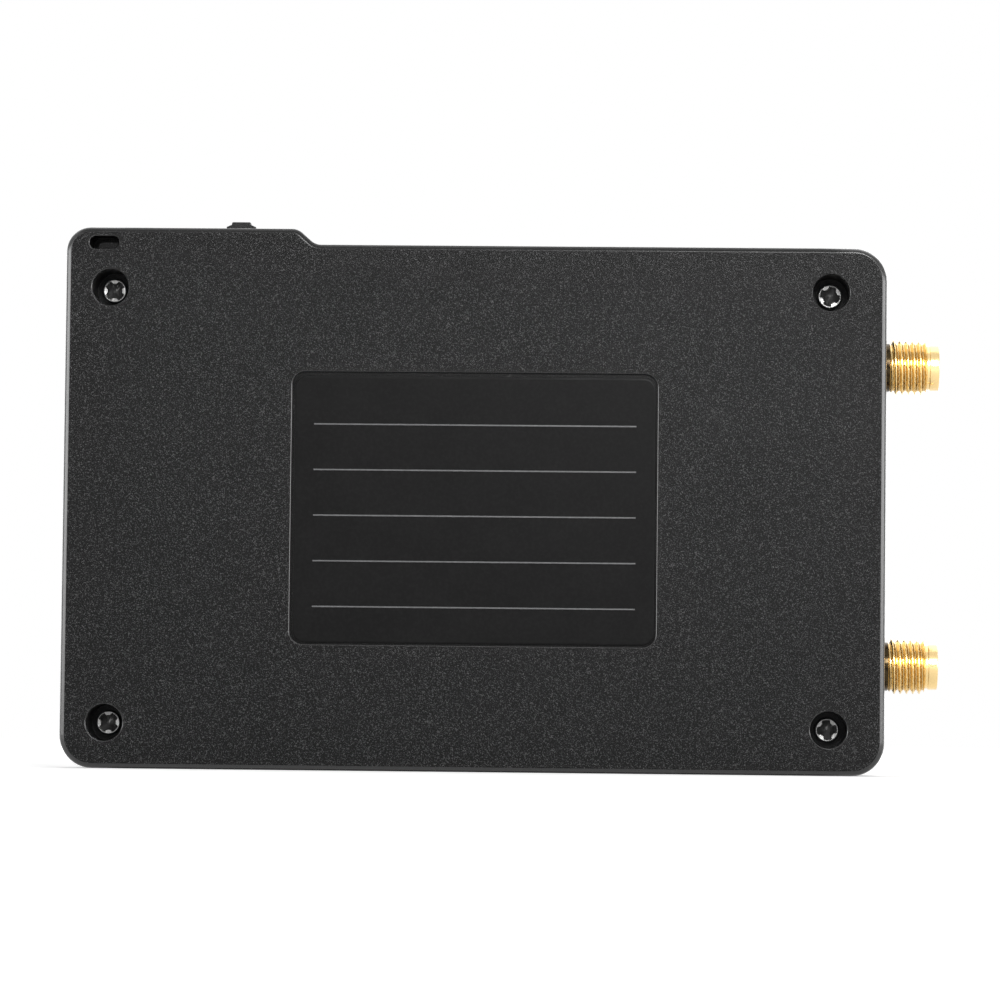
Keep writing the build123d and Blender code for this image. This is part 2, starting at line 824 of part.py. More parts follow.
with BuildPart() as jog_housing:
    with BuildSketch(face_at(board_front_y)):
        with Locations((jog_x, jog_mid_z)):
            Rectangle(jog_w, jog_top_z - jog_low_z)
    extrude(amount=-jog_t)
    with BuildSketch(face_at(jog_floor_t)):
        with Locations((jog_x, (jog_cavity_low_z + jog_top_z) / 2)):
            Rectangle(jog_cavity_w, jog_top_z - jog_cavity_low_z)
    extrude(amount=jog_floor_t - jog_t, mode=Mode.SUBTRACT)
pieces["jog_housing"] = jog_housing

with BuildPart() as jog_cover_plate:
    with BuildSketch(face_at(jog_t)):
        with Locations((jog_x, jog_mid_z)):
            RectangleRounded(jog_w, jog_top_z - jog_low_z, jog_wall / 2)
    extrude(amount=-jog_plate_t)
pieces["jog_cover_plate"] = jog_cover_plate

with BuildPart() as jog_carrier:
    with BuildSketch(face_at(carrier_back_y)):
        with Locations((jog_x, (carrier_low_z + carrier_top_z) / 2)):
            Rectangle(jog_cavity_w - 2 * carrier_gap, carrier_top_z - carrier_low_z)
    extrude(amount=-carrier_t)
    with BuildSketch(face_at(hub_back_y - lever_hub_gap)):
        with Locations((jog_x, (carrier_slot_z + carrier_top_z) / 2)):
            Rectangle(carrier_slot_w, carrier_top_z - carrier_slot_z)
    extrude(amount=-(hub_t + 2 * lever_hub_gap), mode=Mode.SUBTRACT)
    with BuildSketch(face_at(carrier_back_y)):
        with Locations((jog_x, pivot_z)):
            Circle(pivot_r + slip_gap)
    extrude(amount=-carrier_t, mode=Mode.SUBTRACT)
pieces["jog_carrier"] = jog_carrier

with BuildPart() as jog_pivot_pin:
    with BuildSketch(face_at(carrier_back_y)):
        with Locations((jog_x, pivot_z)):
            Circle(pivot_r)
    extrude(amount=-carrier_t)
pieces["jog_pivot_pin"] = jog_pivot_pin

# Hub and neck run inside the carrier; the thicker head widens above it and steps in at the tip
with BuildPart() as jog_lever:
    half_neck = neck_w / 2
    half_wide = lever_wide / 2
    half_tip = lever_tip_w / 2
    with BuildSketch(face_at(hub_back_y)):
        with Locations((jog_x, pivot_z)):
            Circle(hub_r)
        with Locations((jog_x, (pivot_z + lever_flare_z) / 2)):
            Rectangle(neck_w, lever_flare_z - pivot_z)
    extrude(amount=-hub_t)
    with BuildSketch(face_at(lever_y - lever_t / 2)) as lever_head:
        with BuildLine():
            left_side = [
                (jog_x - half_neck, lever_flare_z - half_neck),
                (jog_x - half_neck, lever_flare_z),
                (jog_x - half_wide, lever_full_z),
                (jog_x - half_wide, lever_shoulder_z),
                (jog_x - half_tip, lever_step_z),
                (jog_x - half_tip, lever_top_z),
            ]
            right_side = [(2 * jog_x - x, z) for x, z in reversed(left_side)]
            Polyline(*left_side, *right_side, close=True)
        make_face()
        fillet(lever_head.vertices().group_by(Axis.Y)[-1], lever_tip_r)
    extrude(amount=-lever_t)
    fillet(jog_lever.faces().sort_by(Axis.Z)[-1].edges().filter_by(Axis.X), lever_edge_r)
    with BuildSketch(face_at(hub_back_y)):
        with Locations((jog_x, pivot_z)):
            Circle(pivot_bore_r)
    extrude(amount=-hub_t, mode=Mode.SUBTRACT)
pieces["jog_lever"] = jog_lever

# Snap dome on the housing's floor, under the carrier
with BuildPart() as jog_dome:
    dome_low_z = jog_cavity_low_z
    with Locations((jog_x, lever_y, dome_low_z + dome_rise - dome_r)):
        Sphere(dome_r)
        Sphere(dome_r - dome_t, mode=Mode.SUBTRACT)
    split(bisect_by=Plane.XY.offset(dome_low_z), keep=Keep.TOP)
pieces["jog_dome"] = jog_dome

# ---- Power slide switch, drawn in its OFF position at the left end of its travel ----
off_x = power_x - power_travel / 2
slider_mid_y = slider_y + slider_t / 2
with BuildPart() as power_switch_housing:
    with BuildSketch(face_at(board_front_y)):
        with Locations((power_x, (power_low_z + power_top_z) / 2)):
            Rectangle(power_w, power_top_z - power_low_z)
    extrude(amount=-power_t)
    with BuildSketch(Plane.XY.offset(slider_low_z - carrier_gap)):
        with Locations((power_x, slider_mid_y)):
            Rectangle(slider_w + power_travel + 2 * carrier_gap, slider_t + 2 * carrier_gap)
    extrude(amount=slider_top_z - slider_low_z + 2 * carrier_gap, mode=Mode.SUBTRACT)
    with BuildSketch(Plane.XY.offset(slider_top_z)):
        with Locations((power_x, slider_mid_y)):
            Rectangle(stem_w + power_travel + 2 * carrier_gap, stem_t + 2 * carrier_gap)
    extrude(amount=power_top_z - slider_top_z, mode=Mode.SUBTRACT)
pieces["power_switch_housing"] = power_switch_housing

with BuildPart() as power_switch_knob:
    with BuildSketch(Plane.XY.offset(slider_low_z)):
        with Locations((off_x, slider_mid_y)):
            Rectangle(slider_w, slider_t)
    extrude(amount=slider_top_z - slider_low_z)
    with BuildSketch(Plane.XY.offset(slider_top_z)):
        with Locations((off_x, slider_mid_y)):
            Rectangle(stem_w, stem_t)
    extrude(amount=knob_low_z - slider_top_z)
    with BuildSketch(Plane.XY.offset(knob_low_z)):
        with Locations((off_x, slider_mid_y)):
            Rectangle(knob_w, stem_t)
    extrude(amount=knob_top_z - knob_low_z)
    # Grip grooves across the top
    with BuildSketch(Plane.XY.offset(knob_top_z)):
        with Locations((off_x, slider_mid_y)):
            with GridLocations(2.4 * knob_ridge, 0, 2, 1):
                Rectangle(knob_ridge, stem_t)
    extrude(amount=-knob_ridge, mode=Mode.SUBTRACT)
pieces["power_switch_knob"] = power_switch_knob

for name, piece in pieces.items():
    piece.part.label = name
    export_step(piece.part, f"parts/{name}.step")
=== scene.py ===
"""Looks of a pocket network analyzer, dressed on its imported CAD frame.

Everything is in metres in the CAD frame: X runs across the case towards the two coaxial
ports, Y from the back cover to the screen, Z up from the long bottom edge.
"""

import json
import logging
import math
from dataclasses import dataclass, field
from enum import Enum

import bpy
import numpy as np
from mathutils import Matrix, Vector


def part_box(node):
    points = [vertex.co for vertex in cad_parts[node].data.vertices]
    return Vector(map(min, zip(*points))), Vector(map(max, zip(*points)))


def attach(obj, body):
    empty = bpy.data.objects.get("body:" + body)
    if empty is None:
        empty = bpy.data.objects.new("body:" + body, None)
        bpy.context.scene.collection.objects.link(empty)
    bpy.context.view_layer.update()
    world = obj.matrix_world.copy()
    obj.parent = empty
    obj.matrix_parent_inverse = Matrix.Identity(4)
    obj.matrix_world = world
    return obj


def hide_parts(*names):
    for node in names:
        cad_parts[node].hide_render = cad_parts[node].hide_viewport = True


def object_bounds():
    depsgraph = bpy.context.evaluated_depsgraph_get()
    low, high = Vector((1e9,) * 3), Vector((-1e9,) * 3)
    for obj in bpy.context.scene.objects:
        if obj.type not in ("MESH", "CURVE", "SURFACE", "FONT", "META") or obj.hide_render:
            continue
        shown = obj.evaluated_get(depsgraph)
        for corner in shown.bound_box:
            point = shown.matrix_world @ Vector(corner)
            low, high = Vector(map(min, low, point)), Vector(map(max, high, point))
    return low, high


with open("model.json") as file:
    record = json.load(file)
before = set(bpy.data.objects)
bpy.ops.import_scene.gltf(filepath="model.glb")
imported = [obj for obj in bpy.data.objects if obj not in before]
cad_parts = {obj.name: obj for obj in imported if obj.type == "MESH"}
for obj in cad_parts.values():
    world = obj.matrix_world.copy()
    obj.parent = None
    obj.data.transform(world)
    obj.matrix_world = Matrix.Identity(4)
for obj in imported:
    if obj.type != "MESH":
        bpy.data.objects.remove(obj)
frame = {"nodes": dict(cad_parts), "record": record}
CAD_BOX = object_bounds()

MM = 0.001
# Mesh attribute with each point's share of painted shade in grooves and recesses.
HOLLOW_SHADE = "hollow"
WHITE = (1.0, 1.0, 1.0, 1.0)
log = logging.getLogger("analyzer")

Colour = tuple[float, float, float]
Point = tuple[float, float, float]
Span = tuple[float, float]
Socket = bpy.types.NodeSocket


class Body(str, Enum):
    """The rigid bodies that the new pieces ride on."""

    CASE = "case"


class Slot(str, Enum):
    """The record's material slots that are dressed here."""

    CASE = "case_plastic"
    LABEL = "label_film"
    SCREW = "screw_steel"
    PORT = "port_gold"
    INSULATOR = "insulator_white"
    SWITCH = "switch_black"
    SPRING = "spring_steel"
    BOARD = "board_mask"
    CHIP = "chip_black"
    CERAMIC = "component_tan"
    TINNED = "component_metal"
    FERRITE = "ferrite_grey"
    DIODE = "diode_white"
    SCREEN = "screen_glass"
    PANEL = "panel_glass"
    BACKLIGHT = "backlight_frame"
    FLEX = "flex_film"
    FOAM = "foam_black"
    POUCH = "pouch_foil"
    CONNECTOR = "connector_white"
    LEAD_RED = "lead_red"
    LEAD_BLACK = "lead_black"


# ---------------------------------------------------------------------------------------
# Shader graphs
# ---------------------------------------------------------------------------------------


class Graph:
    """Adds and wires the nodes of one shader tree."""

    def __init__(self, tree: bpy.types.NodeTree) -> None:
        """Keep the tree that the calls add to."""
        self.tree = tree

    def add(self, kind: str, **settings: object) -> bpy.types.Node:
        """Add a node.

        Args:
            kind: Blender's name of the node type.
            **settings: properties set on the node.

        Returns:
            The new node.
        """
        node = self.tree.nodes.new(kind)
        for name, value in settings.items():
            setattr(node, name, value)
        return node

    def feed(self, socket: Socket, value: object) -> None:
        """Wire an output into a socket, or set the socket's own value."""
        if isinstance(value, bpy.types.NodeSocket):
            self.tree.links.new(value, socket)
        else:
            socket.default_value = value

    def fill(self, node: bpy.types.Node, **values: object) -> bpy.types.Node:
        """Feed a node's inputs by name.

        Args:
            node: the node.
            **values: input names, with underscores for spaces, and what to feed them.

        Returns:
            The same node.
        """
        for name, value in values.items():
            self.feed(node.inputs[name.replace("_", " ")], value)
        return node

    def calculate(self, operation: str, *values: object) -> Socket:
        """Add a Math node.

        Args:
            operation: Blender's name of the operation.
            *values: numbers or sockets to work on.

        Returns:
            The result.
        """
        node = self.add("ShaderNodeMath", operation=operation)
        for socket, value in zip(node.inputs, values):
            self.feed(socket, value)
        return node.outputs[0]

    def noise(
        self, coordinates: Socket, scale: object, detail: float = 3.0, rough: float = 0.6
    ) -> Socket:
        """Add a Noise texture.

        Args:
            coordinates: vector socket, in metres.
            scale: features per metre, a number or a socket.
            detail: number of finer octaves.
            rough: strength of the finer octaves.

        Returns:
            The grey output, around 0.5.
        """
        node = self.add("ShaderNodeTexNoise")
        self.fill(node, Vector=coordinates, Scale=scale, Detail=detail, Roughness=rough)
        return node.outputs["Fac"]

    def spread(
        self,
        value: Socket,
        low: object,
        high: object,
        out_low: object = 0.0,
        out_high: object = 1.0,
    ) -> Socket:
        """Remap a value along a soft-ended step, 3t^2 - 2t^3 of its clamped share t.

        Args:
            value: what to remap.
            low: the value at which the step starts.
            high: the value at which it ends.
            out_low: the result at the start.
            out_high: the result at the end.

        Returns:
            The result.
        """
        node = self.add("ShaderNodeMapRange", interpolation_type="SMOOTHSTEP")
        self.fill(node, Value=value, From_Min=low, From_Max=high)
        return self.fill(node, To_Min=out_low, To_Max=out_high).outputs["Result"]

    def tint(self, share: object, first: object, second: object) -> Socket:
        """Mix two colours.

        Args:
            share: 0 for the first colour, 1 for the second.
            first: a colour or a socket.
            second: a colour or a socket.

        Returns:
            The mixed colour.
        """
        node = self.add("ShaderNodeMix", data_type="RGBA")
        self.feed(node.inputs["Factor"], share)
        colours = [s for s in node.inputs if s.type == "RGBA"]
        for socket, value in zip(colours, (first, second)):
            wired = isinstance(value, bpy.types.NodeSocket)
            self.feed(socket, value if wired else (*value, 1.0))
        return next(s for s in node.outputs if s.type == "RGBA")

    def stretch(self, coordinates: Socket, scale: Point) -> Socket:
        """Scale coordinates by a factor along each axis."""
        node = self.add("ShaderNodeMapping", vector_type="POINT")
        return self.fill(node, Vector=coordinates, Scale=scale).outputs["Vector"]

    def group(self, tree: bpy.types.NodeTree, **values: object) -> bpy.types.Node:
        """Place a node group and fill its inputs."""
        return self.fill(self.add("ShaderNodeGroup", node_tree=tree), **values)


def new_group(
    name: str, inputs: dict[str, float | None], outputs: tuple[str, ...]
) -> tuple[bpy.types.NodeTree, Graph, bpy.types.Node, bpy.types.Node]:
    """Start a shader node group.

    Args:
        name: the group's name.
        inputs: input names with their defaults, None for a vector.
        outputs: names of the outputs, all numbers.

    Returns:
        The tree, its graph helper, its input node and its output node.
    """
    tree = bpy.data.node_groups.new(name, "ShaderNodeTree")
    for label, default in inputs.items():
        kind = "NodeSocketVector" if default is None else "NodeSocketFloat"
        socket = tree.interface.new_socket(name=label, in_out="INPUT", socket_type=kind)
        if default is not None:
            socket.default_value = default
    kind = "NodeSocketFloat"
    for label in outputs:
        tree.interface.new_socket(name=label, in_out="OUTPUT", socket_type=kind)
    graph = Graph(tree)
    return tree, graph, graph.add("NodeGroupInput"), graph.add("NodeGroupOutput")


@dataclass
class Effects:
    """The shader node groups that several finishes share, each built once."""

    finer_ratio: float = 2.3
    finer_share: float = 0.4
    middle_height: float = 0.7
    drifts_per_metre: float = 26.0
    smudge_span: Span = (0.35, 0.7)
    specks_per_metre: float = 1900.0
    speck_edge: float = 0.05
    line_stretch: Point = (1.0, 0.03, 0.03)
    tarnish_span: Span = (0.42, 0.7)
    grain: bpy.types.NodeTree = field(init=False)
    handling: bpy.types.NodeTree = field(init=False)
    tooling: bpy.types.NodeTree = field(init=False)

    def __post_init__(self) -> None:
        """Build each group."""
        self.grain = self.build_grain()
        self.handling = self.build_handling()
        self.tooling = self.build_tooling()

    def build_grain(self) -> bpy.types.NodeTree:
        """Spark-eroded mould grain: a pebbled height, light flecks that are partly painted
        glints, and a slow drift in tone.

        Two noises are added, the second one finer and weaker, and their mean is taken off.
        The flecks, partly painted glints, are the places that stand higher than a level.

        Returns:
            The node group.
        """
        tree, graph, given, made = new_group(
            "mould_grain",
            {"Coordinates": None, "Grain": 0.3 * MM, "Fleck Level": 0.06, "Fleck Range": 0.16},
            ("Height", "Flecks", "Drift"),
        )
        place = given.outputs["Coordinates"]
        per_metre = graph.calculate("DIVIDE", 1.0, given.outputs["Grain"])
        pebbles = graph.noise(place, per_metre, detail=1.0, rough=0.5)
        fine_per_metre = graph.calculate("MULTIPLY", per_metre, self.finer_ratio)
        finer = graph.noise(place, fine_per_metre, detail=1.0, rough=0.5)
        both = graph.calculate("MULTIPLY_ADD", finer, self.finer_share, pebbles)
        height = graph.calculate("SUBTRACT", both, self.middle_height)
        level = given.outputs["Fleck Level"]
        full = graph.calculate("ADD", level, given.outputs["Fleck Range"])
        drift = graph.noise(place, self.drifts_per_metre, detail=1.0, rough=0.4)
        graph.fill(made, Height=height, Flecks=graph.spread(height, level, full), Drift=drift)
        return tree

    def build_handling(self) -> bpy.types.NodeTree:
        """Handling marks: soft smudges in the gloss and scattered dust specks.

        Returns:
            The node group.
        """
        tree, graph, given, made = new_group(
            "handling",
            {"Coordinates": None, "Smudge": 9.0 * MM, "Dust": 0.72},
            ("Smudges", "Dust"),
        )
        place = given.outputs["Coordinates"]
        per_metre = graph.calculate("DIVIDE", 1.0, given.outputs["Smudge"])
        smudges = graph.spread(graph.noise(place, per_metre), *self.smudge_span)
        specks = graph.noise(place, self.specks_per_metre, detail=1.0, rough=0.4)
        edge = given.outputs["Dust"]
        full = graph.calculate("ADD", edge, self.speck_edge)
        graph.fill(made, Smudges=smudges, Dust=graph.spread(specks, edge, full))
        return tree

    def build_tooling(self) -> bpy.types.NodeTree:
        """Tool lines on metal: fine parallel scratches across X and a blotchy tarnish.

        Returns:
            The node group.
        """
        tree, graph, given, made = new_group(
            "tool_lines",
            {"Coordinates": None, "Spacing": 0.05 * MM, "Blotch": 1.2 * MM},
            ("Lines", "Tarnish"),
        )
        place = given.outputs["Coordinates"]
        along = graph.stretch(place, self.line_stretch)
        lines_per_metre = graph.calculate("DIVIDE", 1.0, given.outputs["Spacing"])
        lines = graph.noise(along, lines_per_metre, detail=2.0)
        blotches_per_metre = graph.calculate("DIVIDE", 1.0, given.outputs["Blotch"])
        blotches = graph.noise(place, blotches_per_metre)
        graph.fill(made, Lines=lines, Tarnish=graph.spread(blotches, *self.tarnish_span))
        return tree


# ---------------------------------------------------------------------------------------
# Finishes
# ---------------------------------------------------------------------------------------


class MaterialGraph(Graph):
    """The graph of one material, with its shader, object coordinates and shared effects."""

    def __init__(self, name: str, colour: Colour, effects: Effects | None = None) -> None:
        """Start the material.

        Args:
            name: its name.
            colour: its plain colour.
            effects: the shared node groups, if it uses them.
        """
        self.material = bpy.data.materials.new(name)
        self.material.use_nodes = True
        self.material.diffuse_color = (*colour, 1.0)
        super().__init__(self.material.node_tree)
        self.effects = effects
        self.shader = self.tree.nodes["Principled BSDF"]
        self.place = self.add("ShaderNodeTexCoord").outputs["Object"]
        self.shade(Base_Color=(*colour, 1.0))

    def shade(self, **values: object) -> None:
        """Feed the shader's inputs by name."""
        self.fill(self.shader, **values)

    def split(self) -> bpy.types.Node:
        """Separate the object coordinates."""
        parts = self.add("ShaderNodeSeparateXYZ")
        self.feed(parts.inputs[0], self.place)
        return parts

    def emboss(self, height: Socket, depth_mm: float, strength: float) -> None:
        """Feed a height through a Bump node to the shader's normal.

        Args:
            height: the height, from about 0 to 1.
            depth_mm: what a height of 1 stands for.
            strength: share of the relief that shows.
        """
        bump = self.add("ShaderNodeBump")
        self.fill(bump, Strength=strength, Distance=depth_mm * MM, Height=height)
        self.shade(Normal=bump.outputs["Normal"])


@dataclass(frozen=True)
class Finish:
    """One surface finish, the base of all others."""

    name: str
    colour: Colour
    roughness: float
    smudge_mm: float = field(default=9.0, kw_only=True)
    smudge_share: float = field(default=0.08, kw_only=True)

    def build(self, effects: Effects) -> bpy.types.Material:
        """Make the material.

        Args:
            effects: the shared node groups.

        Returns:
            The finished material.
        """
        graph = MaterialGraph(self.name, self.colour, effects)
        graph.shade(Roughness=self.roughness)
        self.dress(graph)
        return graph.material

    def dress(self, graph: MaterialGraph) -> None:
        """Wire the shader up. Each kind of finish has its own way."""
        raise NotImplementedError

    def smudge(self, graph: MaterialGraph) -> Socket:
        """Let smudges from handling dull the surface.

        Args:
            graph: the material's graph.

        Returns:
            The dust specks that handling leaves, from 0 to 1.
        """
        handling = graph.group(
            graph.effects.handling, Coordinates=graph.place, Smudge=self.smudge_mm * MM
        )
        low, high = self.roughness, self.roughness + self.smudge_share
        graph.shade(Roughness=graph.spread(handling.outputs["Smudges"], 0.0, 1.0, low, high))
        return handling.outputs["Dust"]


@dataclass(frozen=True)
class Moulding(Finish):
    """Moulded plastic, from a polished tool or a spark-eroded one.

    Where face_mm is set, the outer faces lie that far from the middle in Y, and the rounded
    edges beside them are polished. Each blend size is how far below a face a mask begins
    and ends. Hands keep the ends shiny from held_mm outwards; middle_mm and crest_mm are the
    heights over which the shine falls to dull_share.
    """

    fleck: Colour = (0.09, 0.09, 0.094)
    grain_mm: float = 0.3
    depth_mm: float = 0.02
    relief: float = 0.35
    fleck_level: float = 0.06
    fleck_range: float = 0.16
    fleck_share: float = 0.6
    gloss: float = 0.4
    drift_span: Span = (0.3, 0.7)
    drift_dark: float = 0.8
    dust_share: float = 0.25
    face_mm: float = 0.0
    face_blend_mm: Span = (0.014, 0.003)
    rim_blend_mm: Span = (0.25, 0.18)
    edge_mm: float = 0.75
    edge_blend_mm: float = 0.2
    edge_grain: float = 0.35
    edge_coat: float = 0.0
    coat_roughness: float = 0.22
    coat_ior: float = 1.59
    held_mm: Span = (38.5, 43.0)
    middle_mm: Span = (50.0, 54.0)
    crest_mm: Span = (60.2, 60.7)
    dull_share: float = 0.35

    def near_face(self, graph: Graph, depth: Socket, blend_mm: Span) -> Socket:
        """Mask of the outer faces: 0 at the first blend size below them, 1 at the second."""
        return graph.spread(depth, *((self.face_mm - mm) * MM for mm in blend_mm))

    def held_share(self, graph: Graph, parts: bpy.types.Node, depth: Socket) -> Socket:
        """Where hands keep the plastic polished: round both ends and along the outer rims.

        The share is the greater of an ends mask on |X| and a rims mask on depth, which is
        duller high up, but no more than a mask that is dull on the top edge.

        Args:
            graph: the material's graph.
            parts: the separated object coordinates.
            depth: distance from the middle in Y.

        Returns:
            The polished share, from 0 to 1.
        """
        along = graph.calculate("ABSOLUTE", parts.outputs["X"])
        ends = graph.spread(along, *(mm * MM for mm in self.held_mm))
        rims = self.near_face(graph, depth, self.rim_blend_mm)
        middle, crest = (
            graph.spread(parts.outputs["Z"], low * MM, high * MM, 1.0, self.dull_share)
            for low, high in (self.middle_mm, self.crest_mm)
        )
        inner = graph.calculate("MULTIPLY", rims, middle)
        return graph.calculate("MINIMUM", graph.calculate("MAXIMUM", ends, inner), crest)

    def fade_grain(self, graph: MaterialGraph) -> Socket | float:
        """Polish the rounded edges beside the outer faces, with a coat on these edges only.

        Args:
            graph: the material's graph.

        Returns:
            Share of the grain that is left: 1 on the flat faces, edge_grain elsewhere.
        """
        if not self.face_mm:
            return 1.0
        parts = graph.split()
        depth = graph.calculate("ABSOLUTE", parts.outputs["Y"])
        face = self.near_face(graph, depth, self.face_blend_mm)
        start = (self.face_mm - self.edge_mm) * MM
        end = start + self.edge_blend_mm * MM
        deep = graph.spread(depth, start, end, 0.0, self.edge_coat)
        band = graph.calculate("MULTIPLY", deep, graph.calculate("SUBTRACT", 1.0, face))
        coat = graph.calculate("MULTIPLY", band, self.held_share(graph, parts, depth))
        graph.shade(Coat_Weight=coat, Coat_Roughness=self.coat_roughness)
        graph.shade(Coat_IOR=self.coat_ior)
        return graph.spread(face, 0.0, 1.0, self.edge_grain, 1.0)

    def dress(self, graph: MaterialGraph) -> None:
        """Grain lifts the normal, flecks and painted glints lighten its peaks, smudges vary
        the gloss.

        Args:
            graph: the material's graph.
        """
        grain = graph.group(
            graph.effects.grain,
            Coordinates=graph.place,
            Grain=self.grain_mm * MM,
            Fleck_Level=self.fleck_level,
            Fleck_Range=self.fleck_range,
        )
        dust = self.smudge(graph)
        covered = self.fade_grain(graph)
        drift = graph.spread(grain.outputs["Drift"], *self.drift_span)
        ground = graph.tint(drift, [c * self.drift_dark for c in self.colour], self.colour)
        # The flecks lighten the grain's peaks: partly the plastic's speckle, partly painted
        # glints.
        fleck_glints = graph.calculate("MULTIPLY", grain.outputs["Flecks"], covered)
        share = graph.calculate("MULTIPLY", fleck_glints, self.fleck_share)
        dusty = graph.calculate("MULTIPLY_ADD", dust, self.dust_share, share)
        colour = graph.tint(dusty, ground, self.fleck)
        graph.shade(Base_Color=colour, Specular_IOR_Level=self.gloss)
        height = graph.calculate("MULTIPLY", grain.outputs["Height"], covered)
        graph.emboss(height, self.depth_mm, self.relief)


@dataclass(frozen=True)
class Plating(Finish):
    """Plated or bare metal with tool lines, a little tarnish and painted shade in its hollows.

    line_span is where the tool lines' noise begins and stops to change the roughness, from
    the first of rough_factors to the second.
    """

    tarnish: Colour = (0.4, 0.4, 0.4)
    line_mm: float = 0.05
    depth_mm: float = 0.004
    relief: float = 0.25
    blotch_mm: float = 1.2
    tarnish_share: float = 0.35
    hollow_share: float = 0.8
    line_span: Span = (0.3, 0.7)
    rough_factors: Span = (0.8, 1.25)

    def dress(self, graph: MaterialGraph) -> None:
        """Tarnish tints random patches and painted shade the hollows; tool lines give the
        metal its grain.

        Args:
            graph: the material's graph.
        """
        tooling = graph.group(
            graph.effects.tooling,
            Coordinates=graph.place,
            Spacing=self.line_mm * MM,
            Blotch=self.blotch_mm * MM,
        )
        # Painted shade: the mesh's hollow shares pull the colour towards the tarnish colour in
        # grooves and recesses.
        hollow = graph.add("ShaderNodeAttribute", attribute_name=HOLLOW_SHADE).outputs["Fac"]
        blotches = graph.calculate("MULTIPLY", tooling.outputs["Tarnish"], self.tarnish_share)
        share = graph.calculate("MULTIPLY_ADD", hollow, self.hollow_share, blotches)
        colour = graph.tint(share, self.colour, self.tarnish)
        lines = tooling.outputs["Lines"]
        low, high = (self.roughness * factor for factor in self.rough_factors)
        rough = graph.spread(lines, *self.line_span, low, high)
        graph.shade(Base_Color=colour, Roughness=rough, Metallic=1.0)
        graph.emboss(lines, self.depth_mm, self.relief)


@dataclass(frozen=True)
class SolderMask(Finish):
    """Circuit board lacquer with the copper pattern showing through as a faint relief."""

    track: Colour = (0.05, 0.24, 0.12)
    track_mm: float = 1.6
    copper_span: Span = (0.42, 0.46)
    copper_mm: float = 0.02
    relief: float = 0.3
    smudge_share: float = field(default=0.1, kw_only=True)

    def dress(self, graph: MaterialGraph) -> None:
        """A coarse cell pattern stands for copper pours under the lacquer.

        Args:
            graph: the material's graph.
        """
        cells = graph.add("ShaderNodeTexVoronoi", distance="MANHATTAN", feature="F1")
        graph.fill(cells, Vector=graph.place, Scale=1.0 / (self.track_mm * MM))
        copper = graph.spread(cells.outputs["Distance"], *self.copper_span)
        graph.shade(Base_Color=graph.tint(copper, self.track, self.colour))
        self.smudge(graph)
        graph.emboss(copper, self.copper_mm, self.relief)


@dataclass(frozen=True)
class Film(Finish):
    """Smooth printed film or lacquered sheet with faint ripples."""

    coat: float = 0.0
    gloss: float = 0.5
    ripple_mm: float = 7.0
    ripple_depth_mm: float = 0.01
    ripple_relief: float = 0.2
    mottle: float = 0.25
    mottle_lift: float = 0.004
    mottles_per_metre: float = 2600.0
    mottle_span: Span = (0.35, 0.75)
    coat_roughness: float = 0.12
    smudge_mm: float = field(default=4.0, kw_only=True)
    smudge_share: float = field(default=0.07, kw_only=True)

    def dress(self, graph: MaterialGraph) -> None:
        """Slow ripples bend the reflections, and fine mottling breaks up the colour.

        Args:
            graph: the material's graph.
        """
        mottle = graph.noise(graph.place, self.mottles_per_metre, detail=2.0)
        light = [c * (1.0 + self.mottle) + self.mottle_lift for c in self.colour]
        colour = graph.tint(graph.spread(mottle, *self.mottle_span), self.colour, light)
        graph.shade(Base_Color=colour, Specular_IOR_Level=self.gloss)
        graph.shade(Coat_Weight=self.coat, Coat_Roughness=self.coat_roughness)
        self.smudge(graph)
        per_metre = 1.0 / (self.ripple_mm * MM)
        ripples = graph.noise(graph.place, per_metre, detail=1.0, rough=0.3)
        graph.emboss(ripples, self.ripple_depth_mm, self.ripple_relief)


@dataclass(frozen=True)
class ScreenFace(Finish):
    """Dark cover of a display that is switched off: a printed border round a lighter panel."""

    panel: Colour = (0.016, 0.018, 0.022)
    half_width: float = 28.2 * MM
    half_height: float = 21.0 * MM
    centre_x: float = -0.6 * MM
    centre_z: float = 29.65 * MM
    border_blend: float = 0.15 * MM
    smudge_mm: float = field(default=12.0, kw_only=True)

    def dress(self, graph: MaterialGraph) -> None:
        """The panel shows inside a rectangle of the given half sizes about the centre.

        Args:
            graph: the material's graph.
        """
        parts = graph.split()
        masks = []
        for axis, centre, half in (
            ("X", self.centre_x, self.half_width),
            ("Z", self.centre_z, self.half_height),
        ):
            offset = graph.calculate("SUBTRACT", parts.outputs[axis], centre)
            distance = graph.calculate("ABSOLUTE", offset)
            masks.append(graph.spread(distance, half, half - self.border_blend))
        inside = graph.calculate("MULTIPLY", *masks)
        graph.shade(Base_Color=graph.tint(inside, self.colour, self.panel))
        self.smudge(graph)


@dataclass(frozen=True)
class Foil(Finish):
    """Crinkled aluminium laminate of a battery pouch."""

    crinkle_mm: float = 3.0
    depth_mm: float = 0.08
    relief: float = 0.4
    metal: float = 0.9
    smudge_share: float = field(default=0.15, kw_only=True)

    def dress(self, graph: MaterialGraph) -> None:
        """Sharp-edged cells give the crinkles, and smudges vary the gloss.

        Args:
            graph: the material's graph.
        """
        cells = graph.add("ShaderNodeTexVoronoi", feature="SMOOTH_F1")
        graph.fill(cells, Vector=graph.place, Scale=1.0 / (self.crinkle_mm * MM))
        graph.shade(Metallic=self.metal)
        self.smudge(graph)
        graph.emboss(cells.outputs["Distance"], self.depth_mm, self.relief)
